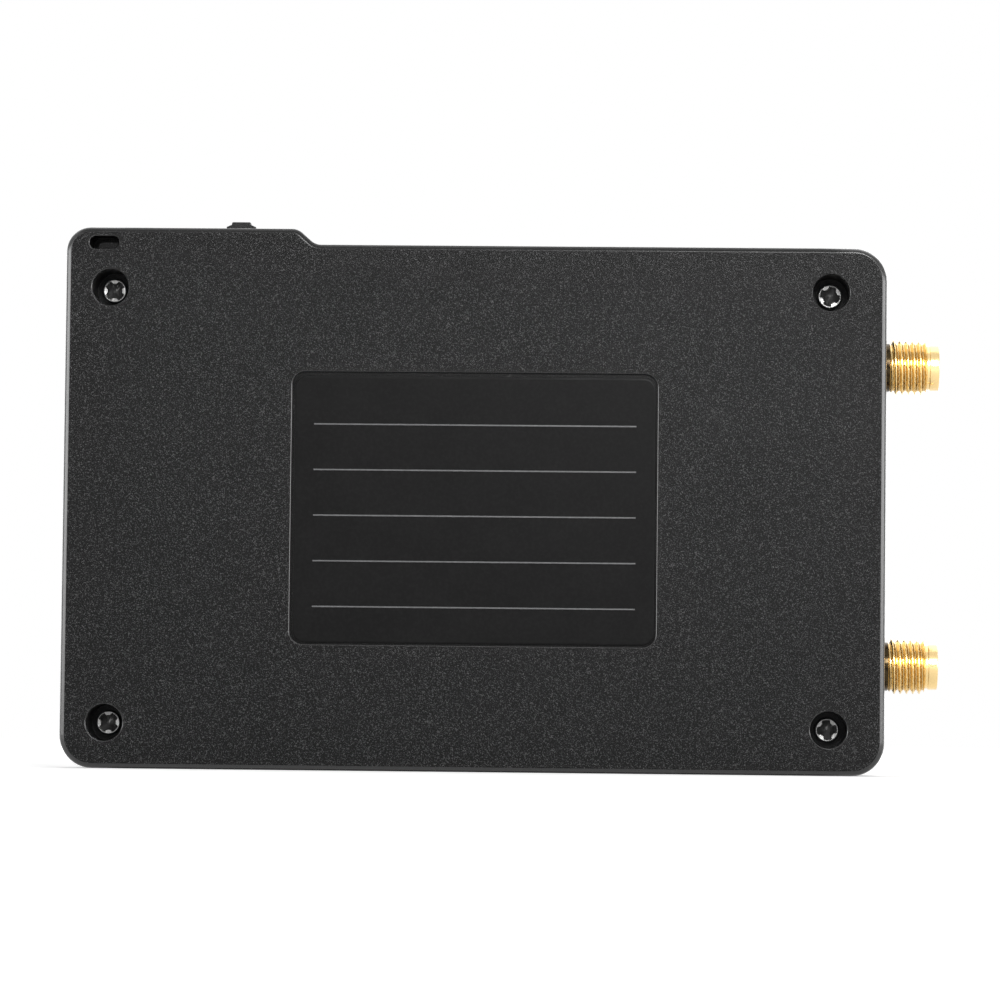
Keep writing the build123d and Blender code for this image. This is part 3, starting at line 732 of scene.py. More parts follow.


# Values without a name are, in order: the material's name, colour and roughness, then the
# colour of its flecks and painted glints, or of its tarnish and painted shade, the size of
# its grain or tool lines in millimetres, the depth of their relief in millimetres and the
# share of it that shows.
FINISHES: dict[Slot, Finish] = {
    Slot.CASE: Moulding(
        "case_grain",
        (0.002, 0.002, 0.002),
        0.3,
        # The light flecks on the case are largely painted glints on the grain's peaks.
        fleck=(0.088, 0.088, 0.089),
        grain_mm=0.098,
        depth_mm=0.03,
        relief=1.0,
        fleck_level=0.09,
        fleck_range=0.12,
        fleck_share=0.9,
        gloss=0.11,
        face_mm=9.25,
        edge_coat=1.0,
    ),
    Slot.LABEL: Film(
        "label_film", (0.0025, 0.0025, 0.0025), 0.36, gloss=0.086, mottle_lift=0.002
    ),
    Slot.SCREW: Plating(
        "screw_plating",
        (0.25, 0.25, 0.245),
        0.33,
        # Colour of the tarnish blotches and of the painted shade tone in the cross recesses.
        (0.29, 0.29, 0.29),
        blotch_mm=0.5,
        tarnish_share=0.6,
        hollow_share=0.8,
    ),
    Slot.PORT: Plating(
        "port_plating",
        (0.85, 0.63, 0.3),
        0.22,
        # Near-black colour of the painted shade in the neck and thread roots, also of the few
        # tarnish blotches.
        (0.012, 0.008, 0.005),
        blotch_mm=0.9,
        tarnish_share=0.06,
        hollow_share=0.95,
    ),
    Slot.INSULATOR: Moulding(
        "port_insulator", (0.82, 0.81, 0.77), 0.42, (0.9, 0.9, 0.88), 0.15, 0.004
    ),
    Slot.SWITCH: Moulding(
        "switch_moulding",
        (0.008, 0.008, 0.008),
        0.42,
        fleck=(0.03, 0.03, 0.031),
        grain_mm=0.12,
        depth_mm=0.006,
        relief=0.3,
        gloss=0.2,
    ),
    Slot.SPRING: Plating("spring_steel", (0.6, 0.59, 0.57), 0.25, (0.3, 0.3, 0.3)),
    Slot.BOARD: SolderMask("board_lacquer", (0.012, 0.1, 0.045), 0.35),
    Slot.CHIP: Moulding(
        "chip_moulding", (0.02, 0.02, 0.021), 0.55, (0.06, 0.06, 0.06), 0.08, 0.006, 0.4
    ),
    Slot.CERAMIC: Moulding(
        "ceramic_body", (0.42, 0.3, 0.18), 0.5, (0.6, 0.48, 0.32), 0.1, 0.004, 0.3
    ),
    Slot.TINNED: Plating("tinned_sheet", (0.66, 0.65, 0.62), 0.32, (0.36, 0.36, 0.35), 0.08),
    Slot.FERRITE: Moulding(
        "ferrite_body", (0.07, 0.07, 0.075), 0.62, (0.13, 0.13, 0.14), 0.12, 0.01, 0.4
    ),
    Slot.DIODE: Moulding(
        "diode_lens", (0.8, 0.78, 0.66), 0.25, (0.9, 0.88, 0.8), 0.3, 0.002, 0.2
    ),
    Slot.SCREEN: ScreenFace("screen_cover", (0.006, 0.006, 0.007), 0.06),
    Slot.PANEL: Film("display_panel", (0.012, 0.013, 0.016), 0.15, coat=0.5),
    Slot.BACKLIGHT: Moulding(
        "backlight_moulding", (0.72, 0.72, 0.7), 0.4, (0.85, 0.85, 0.84), 0.2, 0.004, 0.2
    ),
    Slot.FLEX: Film("ribbon_film", (0.36, 0.15, 0.02), 0.3, coat=0.4),
    Slot.FOAM: Moulding(
        "foam_tape", (0.012, 0.012, 0.012), 0.85, (0.05, 0.05, 0.05), 0.25, 0.05, 0.7
    ),
    Slot.POUCH: Foil("pouch_foil", (0.62, 0.62, 0.64), 0.3),
    Slot.CONNECTOR: Moulding(
        "connector_moulding", (0.76, 0.73, 0.62), 0.4, (0.86, 0.84, 0.75), 0.2, 0.004, 0.2
    ),
    Slot.LEAD_RED: Film("lead_red", (0.45, 0.012, 0.01), 0.35),
    Slot.LEAD_BLACK: Film("lead_black", (0.012, 0.012, 0.012), 0.35),
}

PRINT = Film("printed_ink", (0.5, 0.51, 0.52), 0.45, ripple_relief=0.0)
FAINT_PRINT = Film("faint_ink", (0.07, 0.07, 0.072), 0.45, ripple_relief=0.0)


# ---------------------------------------------------------------------------------------
# Surfaces
# ---------------------------------------------------------------------------------------


@dataclass
class Shell:
    """A closed mesh held as arrays: points (n, 3), and quads or triangles of point numbers.

    Hollow is a number for each point, the share of painted shade in the depth of a groove or
    recess, 1 where it is full and 0 on open surfaces.
    """

    points: np.ndarray
    faces: list[np.ndarray]
    hollow: np.ndarray

    def outward(self) -> "Shell":
        """Turn the faces so that they point outwards.

        The signed volume is the sum over fan triangles of a . (b x c) / 6; it is negative
        where the faces point inwards.

        Returns:
            This shell, with its faces turned round if they pointed inwards.
        """
        volume = 0.0
        for block in self.faces:
            for last in range(2, block.shape[1]):
                a, b, c = (self.points[block[:, k]] for k in (0, last - 1, last))
                volume += float(np.einsum("ij,ij->", a, np.cross(b, c)))
        if volume < 0:
            self.faces = [block[:, ::-1] for block in self.faces]
        return self


def grid_shell(
    points: np.ndarray, wrap_rows: bool = False, hollow: np.ndarray | None = None
) -> Shell:
    """Close a grid of points into a shell.

    Point (i, j) is row i of the profile at step j round the axis, and steps always wrap.
    With wrap_rows the last row joins the first; otherwise each end row is closed by a fan
    of triangles to that row's mean point.

    Args:
        points: array (rows, steps, 3).
        wrap_rows: True for a profile that is a loop.
        hollow: array (rows, steps) of the points' shares of painted shade, or None.

    Returns:
        The shell, with its faces outwards.
    """
    rows, steps, _ = points.shape
    marks = np.zeros((rows, steps)) if hollow is None else hollow
    index = np.arange(rows * steps).reshape(rows, steps)
    upper = index if wrap_rows else index[:-1]
    lower = np.roll(index, -1, axis=0) if wrap_rows else index[1:]
    after, after_lower = np.roll(upper, -1, axis=1), np.roll(lower, -1, axis=1)
    quads = np.stack([upper, after, after_lower, lower], axis=-1).reshape(-1, 4)
    flat = points.reshape(-1, 3)
    if wrap_rows:
        return Shell(flat, [quads], marks.ravel()).outward()
    centres = points[[0, -1]].mean(axis=1)
    marks = np.concatenate([marks.ravel(), marks[[0, -1]].mean(axis=1)])
    first, last = rows * steps, rows * steps + 1
    start, end = index[0], index[-1]
    fans = [
        np.stack([np.full(steps, first), np.roll(start, -1), start], axis=-1),
        np.stack([np.full(steps, last), end, np.roll(end, -1)], axis=-1),
    ]
    return Shell(np.vstack([flat, centres]), [quads, *fans], marks).outward()


def brick(low: np.ndarray, high: np.ndarray, bevel: float) -> Shell:
    """Box between two corners with its vertical and end edges cut off by a bevel.

    The section is an octagon in Y and Z: a rectangle whose corners are cut by the bevel. It
    is carried along X at four stations, and the end stations are drawn in by the bevel.

    Args:
        low: lowest corner.
        high: highest corner.
        bevel: width of the cut corners.

    Returns:
        The closed box.
    """
    middle, half = (low + high) / 2, (high - low) / 2
    signs = np.array([(1, 1), (-1, 1), (-1, -1), (1, -1)], float)
    cut = np.array([(0, 1), (1, 0), (0, 1), (1, 0)], float)
    outer = np.empty((8, 2))
    outer[0::2] = signs * (half[1:] - bevel * (1 - cut))
    outer[1::2] = signs * (half[1:] - bevel * cut)
    stations = np.array([-half[0], -half[0] + bevel, half[0] - bevel, half[0]])
    inset = np.array([bevel, 0.0, 0.0, bevel])
    shrink = 1 - inset[:, None, None] / half[None, None, 1:]
    section = outer[None] * shrink
    along = np.broadcast_to(stations[:, None, None], (4, 8, 1))
    return grid_shell(np.concatenate([along, section], axis=-1) + middle)


def merge(shells: list[Shell]) -> Shell:
    """Put several shells into one, renumbering their points.

    Args:
        shells: the shells.

    Returns:
        One shell with all their points and faces.
    """
    faces, count = [], 0
    for shell in shells:
        faces += [block + count for block in shell.faces]
        count += len(shell.points)
    points = np.vstack([shell.points for shell in shells])
    return Shell(points, faces, np.concatenate([shell.hollow for shell in shells]))


def soften(
    corners: list[tuple[float, float]], radius: float, steps: int = 4, most: float = 0.45
) -> np.ndarray:
    """Round the inner corners of a profile.

    Each corner P is replaced by points of the parabola (1-t)^2 A + 2t(1-t) P + t^2 B, where
    A and B lie on the two runs, a radius from P.

    Args:
        corners: the profile's corner points.
        radius: distance from a corner at which the rounding starts.
        steps: spans in each rounded corner.
        most: the largest share of a run that a rounding may take.

    Returns:
        Array of the profile's points.
    """
    raw = np.array(corners, float)
    before, after = raw[:-2] - raw[1:-1], raw[2:] - raw[1:-1]
    reach = np.linalg.norm(before, axis=1), np.linalg.norm(after, axis=1)
    trim = np.minimum(radius, most * np.minimum(*reach))[:, None]
    a = raw[1:-1] + before / reach[0][:, None] * trim
    b = raw[1:-1] + after / reach[1][:, None] * trim
    t = np.linspace(0, 1, steps + 1)[None, :, None]
    curve = (1 - t) ** 2 * a[:, None] + 2 * t * (1 - t) * raw[1:-1, None] + t**2 * b[:, None]
    return np.vstack([raw[:1], curve.reshape(-1, 2), raw[-1:]])


def smooth_step(value: np.ndarray) -> np.ndarray:
    """3t^2 - 2t^3, where t is the value clamped to 0..1."""
    t = np.clip(value, 0.0, 1.0)
    return t * t * (3 - 2 * t)


def thread_height(phase: np.ndarray, crest_share: float, root_share: float) -> np.ndarray:
    """Height from root 0 to crest 1 of a V thread with flats.

    t is twice the distance from the nearest whole phase, 0 on a crest's middle and 1 on a
    root's, and the flank is (1 - root_share - t) / (1 - root_share - crest_share), clamped.

    Args:
        phase: turns of the thread, whole on a crest.
        crest_share: share of the pitch that is flat crest.
        root_share: share of the pitch that is flat root.

    Returns:
        The heights.
    """
    t = 2 * np.abs(phase - np.round(phase))
    return np.clip((1 - root_share - t) / (1 - root_share - crest_share), 0.0, 1.0)


def add_object(name: str, data: bpy.types.ID) -> bpy.types.Object:
    """Put an object in the scene.

    Args:
        name: its name.
        data: its mesh, lamp or camera.

    Returns:
        The new object, at the origin.
    """
    made = bpy.data.objects.new(name, data)
    bpy.context.scene.collection.objects.link(made)
    return made


def add_piece(
    name: str, shell: Shell, material: bpy.types.Material, body: Body, sharp_deg: float = 32.0
) -> bpy.types.Object:
    """Make a shell into an object that rides on a body.

    Args:
        name: the piece's name.
        shell: its mesh as arrays.
        material: its finish.
        body: the body that it moves with.
        sharp_deg: edges that turn more than this stay sharp.

    Returns:
        The new object, at the origin.
    """
    mesh = bpy.data.meshes.new(name)
    faces = [tuple(row) for block in shell.faces for row in block.tolist()]
    mesh.from_pydata(shell.points.tolist(), [], faces)
    mesh.update()
    mesh.shade_smooth()
    mesh.set_sharp_from_angle(angle=math.radians(sharp_deg))
    # Store each point's share of painted shade for the shader.
    marks = mesh.attributes.new(HOLLOW_SHADE, "FLOAT", "POINT")
    marks.data.foreach_set("value", shell.hollow.astype(np.float32))
    mesh.materials.append(material)
    piece = add_object(name, mesh)
    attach(piece, body.value)
    log.info("%s: %d points on %s", name, len(shell.points), body.value)
    return piece


# ---------------------------------------------------------------------------------------
# Sub-assemblies
# ---------------------------------------------------------------------------------------


class Palette:
    """The finished materials, one for each slot, and the dressing of CAD nodes."""

    def __init__(self) -> None:
        """Build the shared effects and every finish."""
        effects = Effects()
        self.materials = {slot: finish.build(effects) for slot, finish in FINISHES.items()}
        self.ink = PRINT.build(effects)
        self.faint_ink = FAINT_PRINT.build(effects)

    def dress_frame(self) -> None:
        """Give each CAD node the finish of its slot in the record."""
        rows = frame["record"]["subparts"]
        slots = {row["node"]: Slot(row["material_slot"]) for row in rows}
        for name, node in frame["nodes"].items():
            node.data.materials.clear()
            node.data.materials.append(self.materials[slots[name]])
            log.info("%s: dressed as %s", name, slots[name].value)


@dataclass
class CoaxialPort:
    """Flanged jack with a helical thread, run-out groove, plain tip and bore.

    One closed section loop is turned about the port's axis. The flange's part of it follows
    a rounded square and the thread's part a right-hand helix.
    """

    number: int
    palette: Palette
    crest_radius: float = 3.125 * MM
    root_radius: float = 2.68 * MM
    pitch: float = 0.7056 * MM
    crest_at_top: float = 51.07 * MM
    neck_end: float = 47.06 * MM
    neck_radius: float = 2.8 * MM
    run_in_turns: float = 0.4
    run_out: float = 3.4
    crest_share: float = 0.16
    root_share: float = 0.12
    # Share of painted shade in the thread's roots.
    root_tarnish: float = 0.25
    groove_x: float = 51.36 * MM
    groove_end_x: float = 51.66 * MM
    groove_radius: float = 2.5 * MM
    tip_radius: float = 2.62 * MM
    socket_radius: float = 2.3 * MM
    bore_gap: float = 0.02 * MM
    flange_depth: float = 1.6 * MM
    flange_half: float = 3.175 * MM
    flange_lip: float = 0.3 * MM
    flange_power: float = 16.0
    leg_size: float = 1.1 * MM
    leg_length: float = 4.0 * MM
    leg_inset: float = 0.5 * MM
    edge: float = 0.1 * MM
    sharp_deg: float = 24.0
    steps: int = 144
    rows_per_turn: int = 22

    def frame_sizes(self) -> None:
        """Read the axis and the end planes from the CAD nodes."""
        low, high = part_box(f"port_{self.number}_insulator")
        self.axis_y, self.axis_z = (low.y + high.y) / 2, (low.z + high.z) / 2
        self.bore_radius = (high.z - low.z) / 2 + self.bore_gap
        self.back_x, self.floor_x = low.x, high.x
        self.tip_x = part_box(f"port_{self.number}_body")[1].x
        self.board_low, self.board_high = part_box("circuit_board")

    def square_radius(self, theta: np.ndarray) -> np.ndarray:
        """Rounded square: half side over the n-norm of (cos, sin), with a high power n.

        Args:
            theta: angles round the axis.

        Returns:
            The square's radius at each angle.
        """
        n = self.flange_power
        norm = (np.abs(np.cos(theta)) ** n + np.abs(np.sin(theta)) ** n) ** (1 / n)
        return self.flange_half / norm

    def thread_rows(self, theta: np.ndarray) -> tuple[np.ndarray, np.ndarray, np.ndarray]:
        """Rows of the barrel: a plain neck through the wall, fully painted with shade, then
        the thread.

        The phase at (x, theta) is (x - crest) / pitch less the share of a turn from the top,
        so crests move along +X as theta grows from +Y to +Z: a right-hand thread. The radius
        is the lesser of the thread and a cone that runs out into the groove.

        Args:
            theta: angles round the axis.

        Returns:
            Row positions (rows,), radii (rows, steps) and each point's share of painted shade.
        """
        rows = int((self.groove_x - self.neck_end) / self.pitch * self.rows_per_turn)
        neck = np.array([self.back_x + self.flange_depth + self.edge, self.neck_end])
        thread = np.linspace(self.neck_end + self.edge, self.groove_x, rows)
        turns = (theta - math.pi / 2) / (2 * math.pi)
        phase = (thread[:, None] - self.crest_at_top) / self.pitch - turns[None]
        run_in = smooth_step((thread - thread[0]) / (self.run_in_turns * self.pitch))[:, None]
        height = run_in * thread_height(phase, self.crest_share, self.root_share)
        radius = self.root_radius + (self.crest_radius - self.root_radius) * height
        cone = self.groove_radius + (self.groove_x - thread[:, None]) * self.run_out
        plain = np.ones((2, self.steps))
        # The neck is fully painted with shade, and the thread's painted shade grows towards
        # its roots.
        return (
            np.concatenate([neck, thread]),
            np.vstack([plain * self.neck_radius, np.minimum(radius, cone)]),
            np.vstack([plain, self.root_tarnish * (1 - height) ** 2]),
        )

    def build(self) -> None:
        """Turn the section and add the four legs that straddle the board's edge."""
        self.frame_sizes()
        theta = np.linspace(0, 2 * math.pi, self.steps, endpoint=False)
        square, flat = self.square_radius(theta), np.ones(self.steps)
        back, front = self.back_x, self.back_x + self.flange_depth
        thread_x, thread_r, thread_shade = self.thread_rows(theta)
        tip = soften(
            [
                (self.groove_x + 0.5 * self.edge, self.groove_radius),
                (self.groove_end_x, self.groove_radius),
                (self.groove_end_x, self.tip_radius),
                (self.tip_x, self.tip_radius),
                (self.tip_x, self.socket_radius),
                (self.floor_x, self.socket_radius),
                (self.floor_x, self.bore_radius),
                (back, self.bore_radius),
            ],
            self.edge,
        )
        flange_x = np.array([back, back, back + self.edge, front - self.edge, front, front])
        inner, cut = flat * (self.bore_radius + self.flange_lip), square - self.edge
        flange_r = np.stack([inner, cut, square, square, cut, flat * self.root_radius])
        x = np.concatenate([flange_x, thread_x, tip[:, 0]])
        radius = np.vstack([flange_r, thread_r, tip[:, 1:] * flat])
        hollow = np.vstack([0 * flange_r, thread_shade, 0 * tip[:, 1:] * flat])
        points = np.stack(
            [
                np.broadcast_to(x[:, None], radius.shape),
                self.axis_y + radius * np.cos(theta),
                self.axis_z + radius * np.sin(theta),
            ],
            axis=-1,
        )
        shell = merge([grid_shell(points, wrap_rows=True, hollow=hollow), *self.legs()])
        name = f"port_{self.number}_threaded_jack"
        material = self.palette.materials[Slot.PORT]
        piece = add_piece(name, shell, material, Body.CASE, self.sharp_deg)
        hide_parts(f"port_{self.number}_body")

    def legs(self) -> list[Shell]:
        """Four bevelled bars from the flange over both faces of the board.

        Returns:
            The bars.
        """
        size, reach = self.leg_size, self.flange_half - self.leg_inset
        front, behind = self.board_high.y, self.board_low.y
        shells = []
        for low_y in (front, behind - size):
            for low_z in (self.axis_z - reach, self.axis_z + reach - size):
                low = np.array([self.back_x - self.leg_length, low_y, low_z])
                high = np.array([self.back_x + self.edge, low_y + size, low_z + size])
                shells.append(brick(low, high, self.edge))
        return shells


@dataclass
class CoverScrews:
    """Four pan-head screws, each one surface from the recess's middle to the point.

    Row after row runs out over the crown, down the side and along the threaded shank. The
    crown is dished and sinks into a cross with soft walls, and the cross is painted with
    shade, full where the depth is the share one over the recess shade gain of the deepest.
    The first row is a small ring, inner_share of the head's radius.
    """

    palette: Palette
    turns_deg: tuple[float, ...] = (45.0, 72.0, 47.0, 6.0)
    head_radius: float = 1.38 * MM
    flat_radius: float = 1.19 * MM
    crown_drop: float = 0.18 * MM
    bend_limit: float = 0.999
    dish: float = 0.1 * MM
    head_height: float = 1.1 * MM
    head_edge: float = 0.06 * MM
    shank_radius: float = 0.85 * MM
    root_radius: float = 0.64 * MM
    shank_pitch: float = 0.6 * MM
    crest_share: float = 0.12
    root_share: float = 0.4
    point: float = 0.7 * MM
    point_power: float = 0.7
    arm_length: float = 1.13 * MM
    arm_half: float = 0.4 * MM
    arm_wall: float = 0.08 * MM
    core_radius: float = 0.78 * MM
    core_wall: float = 0.12 * MM
    recess_depth: float = 0.9 * MM
    floor_rise: float = 0.7
    dirt: float = 2.5
    inner_share: float = 0.02
    tip_share: float = 0.04
    sharp_deg: float = 30.0
    steps: int = 128
    crown_rows: int = 52
    rows_per_turn: int = 10

    def recess(self, radius: np.ndarray, theta: np.ndarray) -> np.ndarray:
        """Share from 0 to 1 of the cross recess at polar places on the crown.

        An arm along a holds where |b| is under arm_half and the radius is under arm_length,
        and a round core joins the arms. The floor is a cone, deepest in the middle, that has
        risen by the share floor_rise at the arms' ends.

        Args:
            radius: distances from the axis.
            theta: angles from the cross's first arm.

        Returns:
            The share of the recess's depth at each place.
        """
        a, b = radius * np.cos(theta), radius * np.sin(theta)
        across = np.minimum(np.abs(a), np.abs(b))
        side = smooth_step((self.arm_half - across) / self.arm_wall + 0.5)
        core = smooth_step((self.core_radius - radius) / self.core_wall + 0.5)
        end = smooth_step((self.arm_length - radius) / self.arm_wall + 0.5)
        cone = 1 - self.floor_rise * np.clip(radius / self.arm_length, 0.0, 1.0)
        return np.maximum(side, core) * end * cone

    def screw(self, x: float, z: float, top: float, tip: float, turn_deg: float) -> Shell:
        """One screw.

        The crown falls from flat_radius outwards like a quarter of an ellipse, cut off at
        bend_limit. The shank's radius shrinks along the point by a power of the length that
        is left, cut off where that is tip_share of the point.

        Args:
            x: axis position across the case.
            z: axis position up the case.
            top: Y of the crown.
            tip: Y of the point.
            turn_deg: turn of the cross about the axis.

        Returns:
            The closed screw.
        """
        theta = np.linspace(0, 2 * math.pi, self.steps, endpoint=False)
        crown_share = np.linspace(self.inner_share, 1.0, self.crown_rows)
        crown_r = crown_share[:, None] * self.head_radius
        crown_r = np.broadcast_to(crown_r, (self.crown_rows, self.steps))
        bend = (crown_r - self.flat_radius) / (self.head_radius - self.flat_radius)
        fall = self.crown_drop * (1 - np.sqrt(1 - np.clip(bend, 0, self.bend_limit) ** 2))
        sunk = self.recess(crown_r, theta[None] - math.radians(turn_deg))
        dished = self.dish * np.clip(1 - (crown_r / self.flat_radius) ** 2, 0, 1)
        crown_y = top + dished + fall + self.recess_depth * sunk
        under = top + self.head_height
        side_y = np.array([under - self.head_edge, under])
        side_r = np.array([self.head_radius, self.head_radius - self.head_edge])
        shank_rows = int((tip - under) / self.shank_pitch * self.rows_per_turn)
        shank_y = np.linspace(under, tip, shank_rows)[:, None]
        phase = (shank_y - under) / self.shank_pitch - theta[None] / (2 * math.pi)
        ridge = thread_height(phase, self.crest_share, self.root_share)
        shank_r = self.root_radius + (self.shank_radius - self.root_radius) * ridge
        taper = np.clip((tip - shank_y) / self.point, self.tip_share, 1.0) ** self.point_power
        shank_r = shank_r * taper
        flat = np.ones(self.steps)
        radius = np.vstack([crown_r, side_r[:, None] * flat, shank_r])
        depth = np.vstack([crown_y, side_y[:, None] * flat, shank_y * flat])
        points = np.stack(
            [x + radius * np.cos(theta), depth, z + radius * np.sin(theta)], axis=-1
        )
        hollow = np.zeros(radius.shape)
        # Painted shade in the cross recess, growing with the recess's depth.
        hollow[: self.crown_rows] = np.clip(self.dirt * sunk, 0.0, 1.0)
        return grid_shell(points, hollow=hollow)

    def build(self) -> None:
        """Place the screws at the four outer corners of their CAD node's box."""
        low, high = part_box("cover_screws")
        half = self.head_radius
        across, up = (low.x + half, high.x - half), (high.z - half, low.z + half)
        centres = [(x, z) for z in up for x in across]
        shells = [
            self.screw(*centre, low.y, high.y, turn)
            for centre, turn in zip(centres, self.turns_deg)
        ]
        material = self.palette.materials[Slot.SCREW]
        shell = merge(shells)
        piece = add_piece("cover_screw_set", shell, material, Body.CASE, self.sharp_deg)
        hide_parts("cover_screws")


@dataclass
class UsbContacts:
    """Gold contact strips on both faces of the USB socket's tongue."""

    palette: Palette
    count: int = 12
    pitch: float = 0.5 * MM
    width: float = 0.26 * MM
    thickness: float = 0.04 * MM
    bevels_per_thickness: float = 3.0
    length: float = 3.6 * MM
    setback: float = 0.45 * MM
    tongue_thickness: float = 0.7 * MM

    def build(self) -> None:
        """Strip k lies at (k - middle) times the pitch along Z, on each face of the tongue."""
        low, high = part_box("usb_tongue")
        middle_y, middle_z = (low.y + high.y) / 2, (low.z + high.z) / 2
        start_x = low.x + self.setback
        shells = []
        for side in (-1, 1):
            face_y = middle_y + side * self.tongue_thickness / 2
            ends_y = sorted((face_y - side * self.thickness, face_y + side * self.thickness))
            for k in range(self.count):
                z = middle_z + (k - (self.count - 1) / 2) * self.pitch
                start = np.array([start_x, ends_y[0], z - self.width / 2])
                end = np.array([start_x + self.length, ends_y[1], z + self.width / 2])
                shells.append(brick(start, end, self.thickness / self.bevels_per_thickness))
        material = self.palette.materials[Slot.PORT]
        piece = add_piece("usb_contact_strips", merge(shells), material, Body.CASE)


@dataclass
class BackLabel:
    """Plain film label in the back recess, with blank ruled lines for the owner's notes.

    The film is a rounded-corner plate whose edge is rolled over; the lines are thin ink bars.
    """

    palette: Palette
    corner_radius: float = 1.4 * MM
    roll: float = 0.07 * MM
    roll_share: float = 0.3
    face_rolls: float = 4.0
    ink: float = 0.02 * MM
    line: float = 0.16 * MM
    margin: float = 2.2 * MM
    rules: int = 5
    rule_share: float = 0.35
    corner_steps: int = 12

    def outline(self, half_x: float, half_z: float, radius: float) -> np.ndarray:
        """Rounded rectangle: a quarter circle round each corner's centre.

        Args:
            half_x: half its width.
            half_z: half its height.
            radius: radius of the corners.

        Returns:
            Array (n, 2) of the outline's points.
        """
        quarter = np.linspace(0, math.pi / 2, self.corner_steps)
        corners = []
        for turn, (sx, sz) in enumerate(((1, 1), (-1, 1), (-1, -1), (1, -1))):
            angle = quarter + turn * math.pi / 2
            centre = np.array([sx * (half_x - radius), sz * (half_z - radius)])
            corners.append(centre + radius * np.stack([np.cos(angle), np.sin(angle)], axis=-1))
        return np.vstack(corners)

    def plate(self, low: Vector, high: Vector) -> Shell:
        """Stack inset outlines from the back of the film to its face, with a rolled rim.

        The rim passes a point roll_share of the roll inwards and down. The last outline lies
        in the face's own plane, face_rolls rolls in, which keeps the face's shading flat.

        Args:
            low: lowest corner of the film.
            high: highest corner of the film.

        Returns:
            The closed film.
        """
        half, middle = (high - low) / 2, (high + low) / 2
        bend = self.roll_share * self.roll
        stations = (
            (high.y, 0.0),
            (low.y + self.roll, 0.0),
            (low.y + bend, bend),
            (low.y, self.roll),
            (low.y, self.face_rolls * self.roll),
        )
        rings = []
        for y, inset in stations:
            ring = self.outline(half.x - inset, half.z - inset, self.corner_radius - inset)
            depth = np.full((len(ring), 1), y)
            placed = ring + np.array([middle.x, middle.z])
            rings.append(np.concatenate([placed[:, :1], depth, placed[:, 1:]], axis=1))
        return grid_shell(np.stack(rings))

    def build(self) -> None:
        """Make the film and its ruled lines."""
        low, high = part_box("back_label")
        material = self.palette.materials[Slot.LABEL]
        film = add_piece("back_label_film", self.plate(low, high), material, Body.CASE)
        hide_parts("back_label")
        pitch = (high.z - low.z - 2 * self.margin) / self.rules
        bars = []
        for k in range(self.rules):
            z = low.z + self.margin + (k + self.rule_share) * pitch
            start = np.array([low.x + self.margin, low.y - self.ink, z])
            end = np.array([high.x - self.margin, low.y + self.ink, z + self.line])
            bars.append(brick(start, end, self.ink / 2))
        add_piece("back_label_rules", merge(bars), self.palette.faint_ink, Body.CASE)


@dataclass
class FrontMarks:
    """Generic print on the front: port numbers and the power switch's two ends."""

    palette: Palette
    number_size: float = 3.2 * MM
    number_x: float = 40.0 * MM
    word_size: float = 1.7 * MM
    word_shift: float = 2.6 * MM
    word_drop: float = 0.2 * MM
    em_per_height: float = 1.4
    relief: float = 0.015 * MM

    def mark(self, name: str, text: str, x: float, z: float, size: float) -> None:
        """Set a word on the front face, readable from the screen's side.

        Args:
            name: the piece's name.
            text: the word.
            x: its middle across the case.
            z: its middle up the case.
            size: letter height.
        """
        curve = bpy.data.curves.new(name, "FONT")
        curve.body = text
        curve.size = size * self.em_per_height
        curve.extrude = self.relief
        curve.align_x, curve.align_y = "CENTER", "CENTER"
        holder = bpy.data.objects.new(name, curve)
        mesh = bpy.data.meshes.new_from_object(holder)
        face_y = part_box("front_cover")[1].y
        turn = Matrix(((-1, 0, 0), (0, 0, 1), (0, 1, 0))).to_4x4()
        mesh.transform(Matrix.Translation((x, face_y, z)) @ turn)
        mesh.materials.clear()
        mesh.materials.append(self.palette.ink)
        bpy.data.objects.remove(holder)
        piece = add_object(name, mesh)
        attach(piece, Body.CASE.value)
        log.info("%s: print on %s", name, Body.CASE.value)

    def build(self) -> None:
        """Number each port beside its axis and name the power switch's ends."""
        for number in (0, 1):
            low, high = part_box(f"port_{number}_insulator")
            place = (self.number_x, (low.z + high.z) / 2)
            self.mark(f"port_mark_{number}", str(number), *place, self.number_size)
        low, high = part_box("power_switch_housing")
        middle = (low.x + high.x) / 2
        for name, text, shift in (("on", "ON", 1.0), ("off", "OFF", -1.0)):
            place = (middle + shift * self.word_shift, high.z - self.word_drop)
            self.mark(f"power_mark_{name}", text, *place, self.word_size)


# ---------------------------------------------------------------------------------------
# Studio
# ---------------------------------------------------------------------------------------


@dataclass(frozen=True)
class SoftBox:
    """One area lamp that faces a point on the object."""

    name: str
    place: Point
    size: tuple[float, float]
    power: float

    def build(self, target: Vector) -> None:
        """Add the lamp, turned to the target."""
        lamp = bpy.data.lights.new(self.name, "AREA")
        lamp.shape = "RECTANGLE"
        lamp.size, lamp.size_y = self.size
        lamp.energy = self.power
        holder = add_object(self.name, lamp)
        holder.location = self.place
        aim = target - Vector(self.place)
        holder.rotation_euler = aim.to_track_quat("-Z", "Y").to_euler()


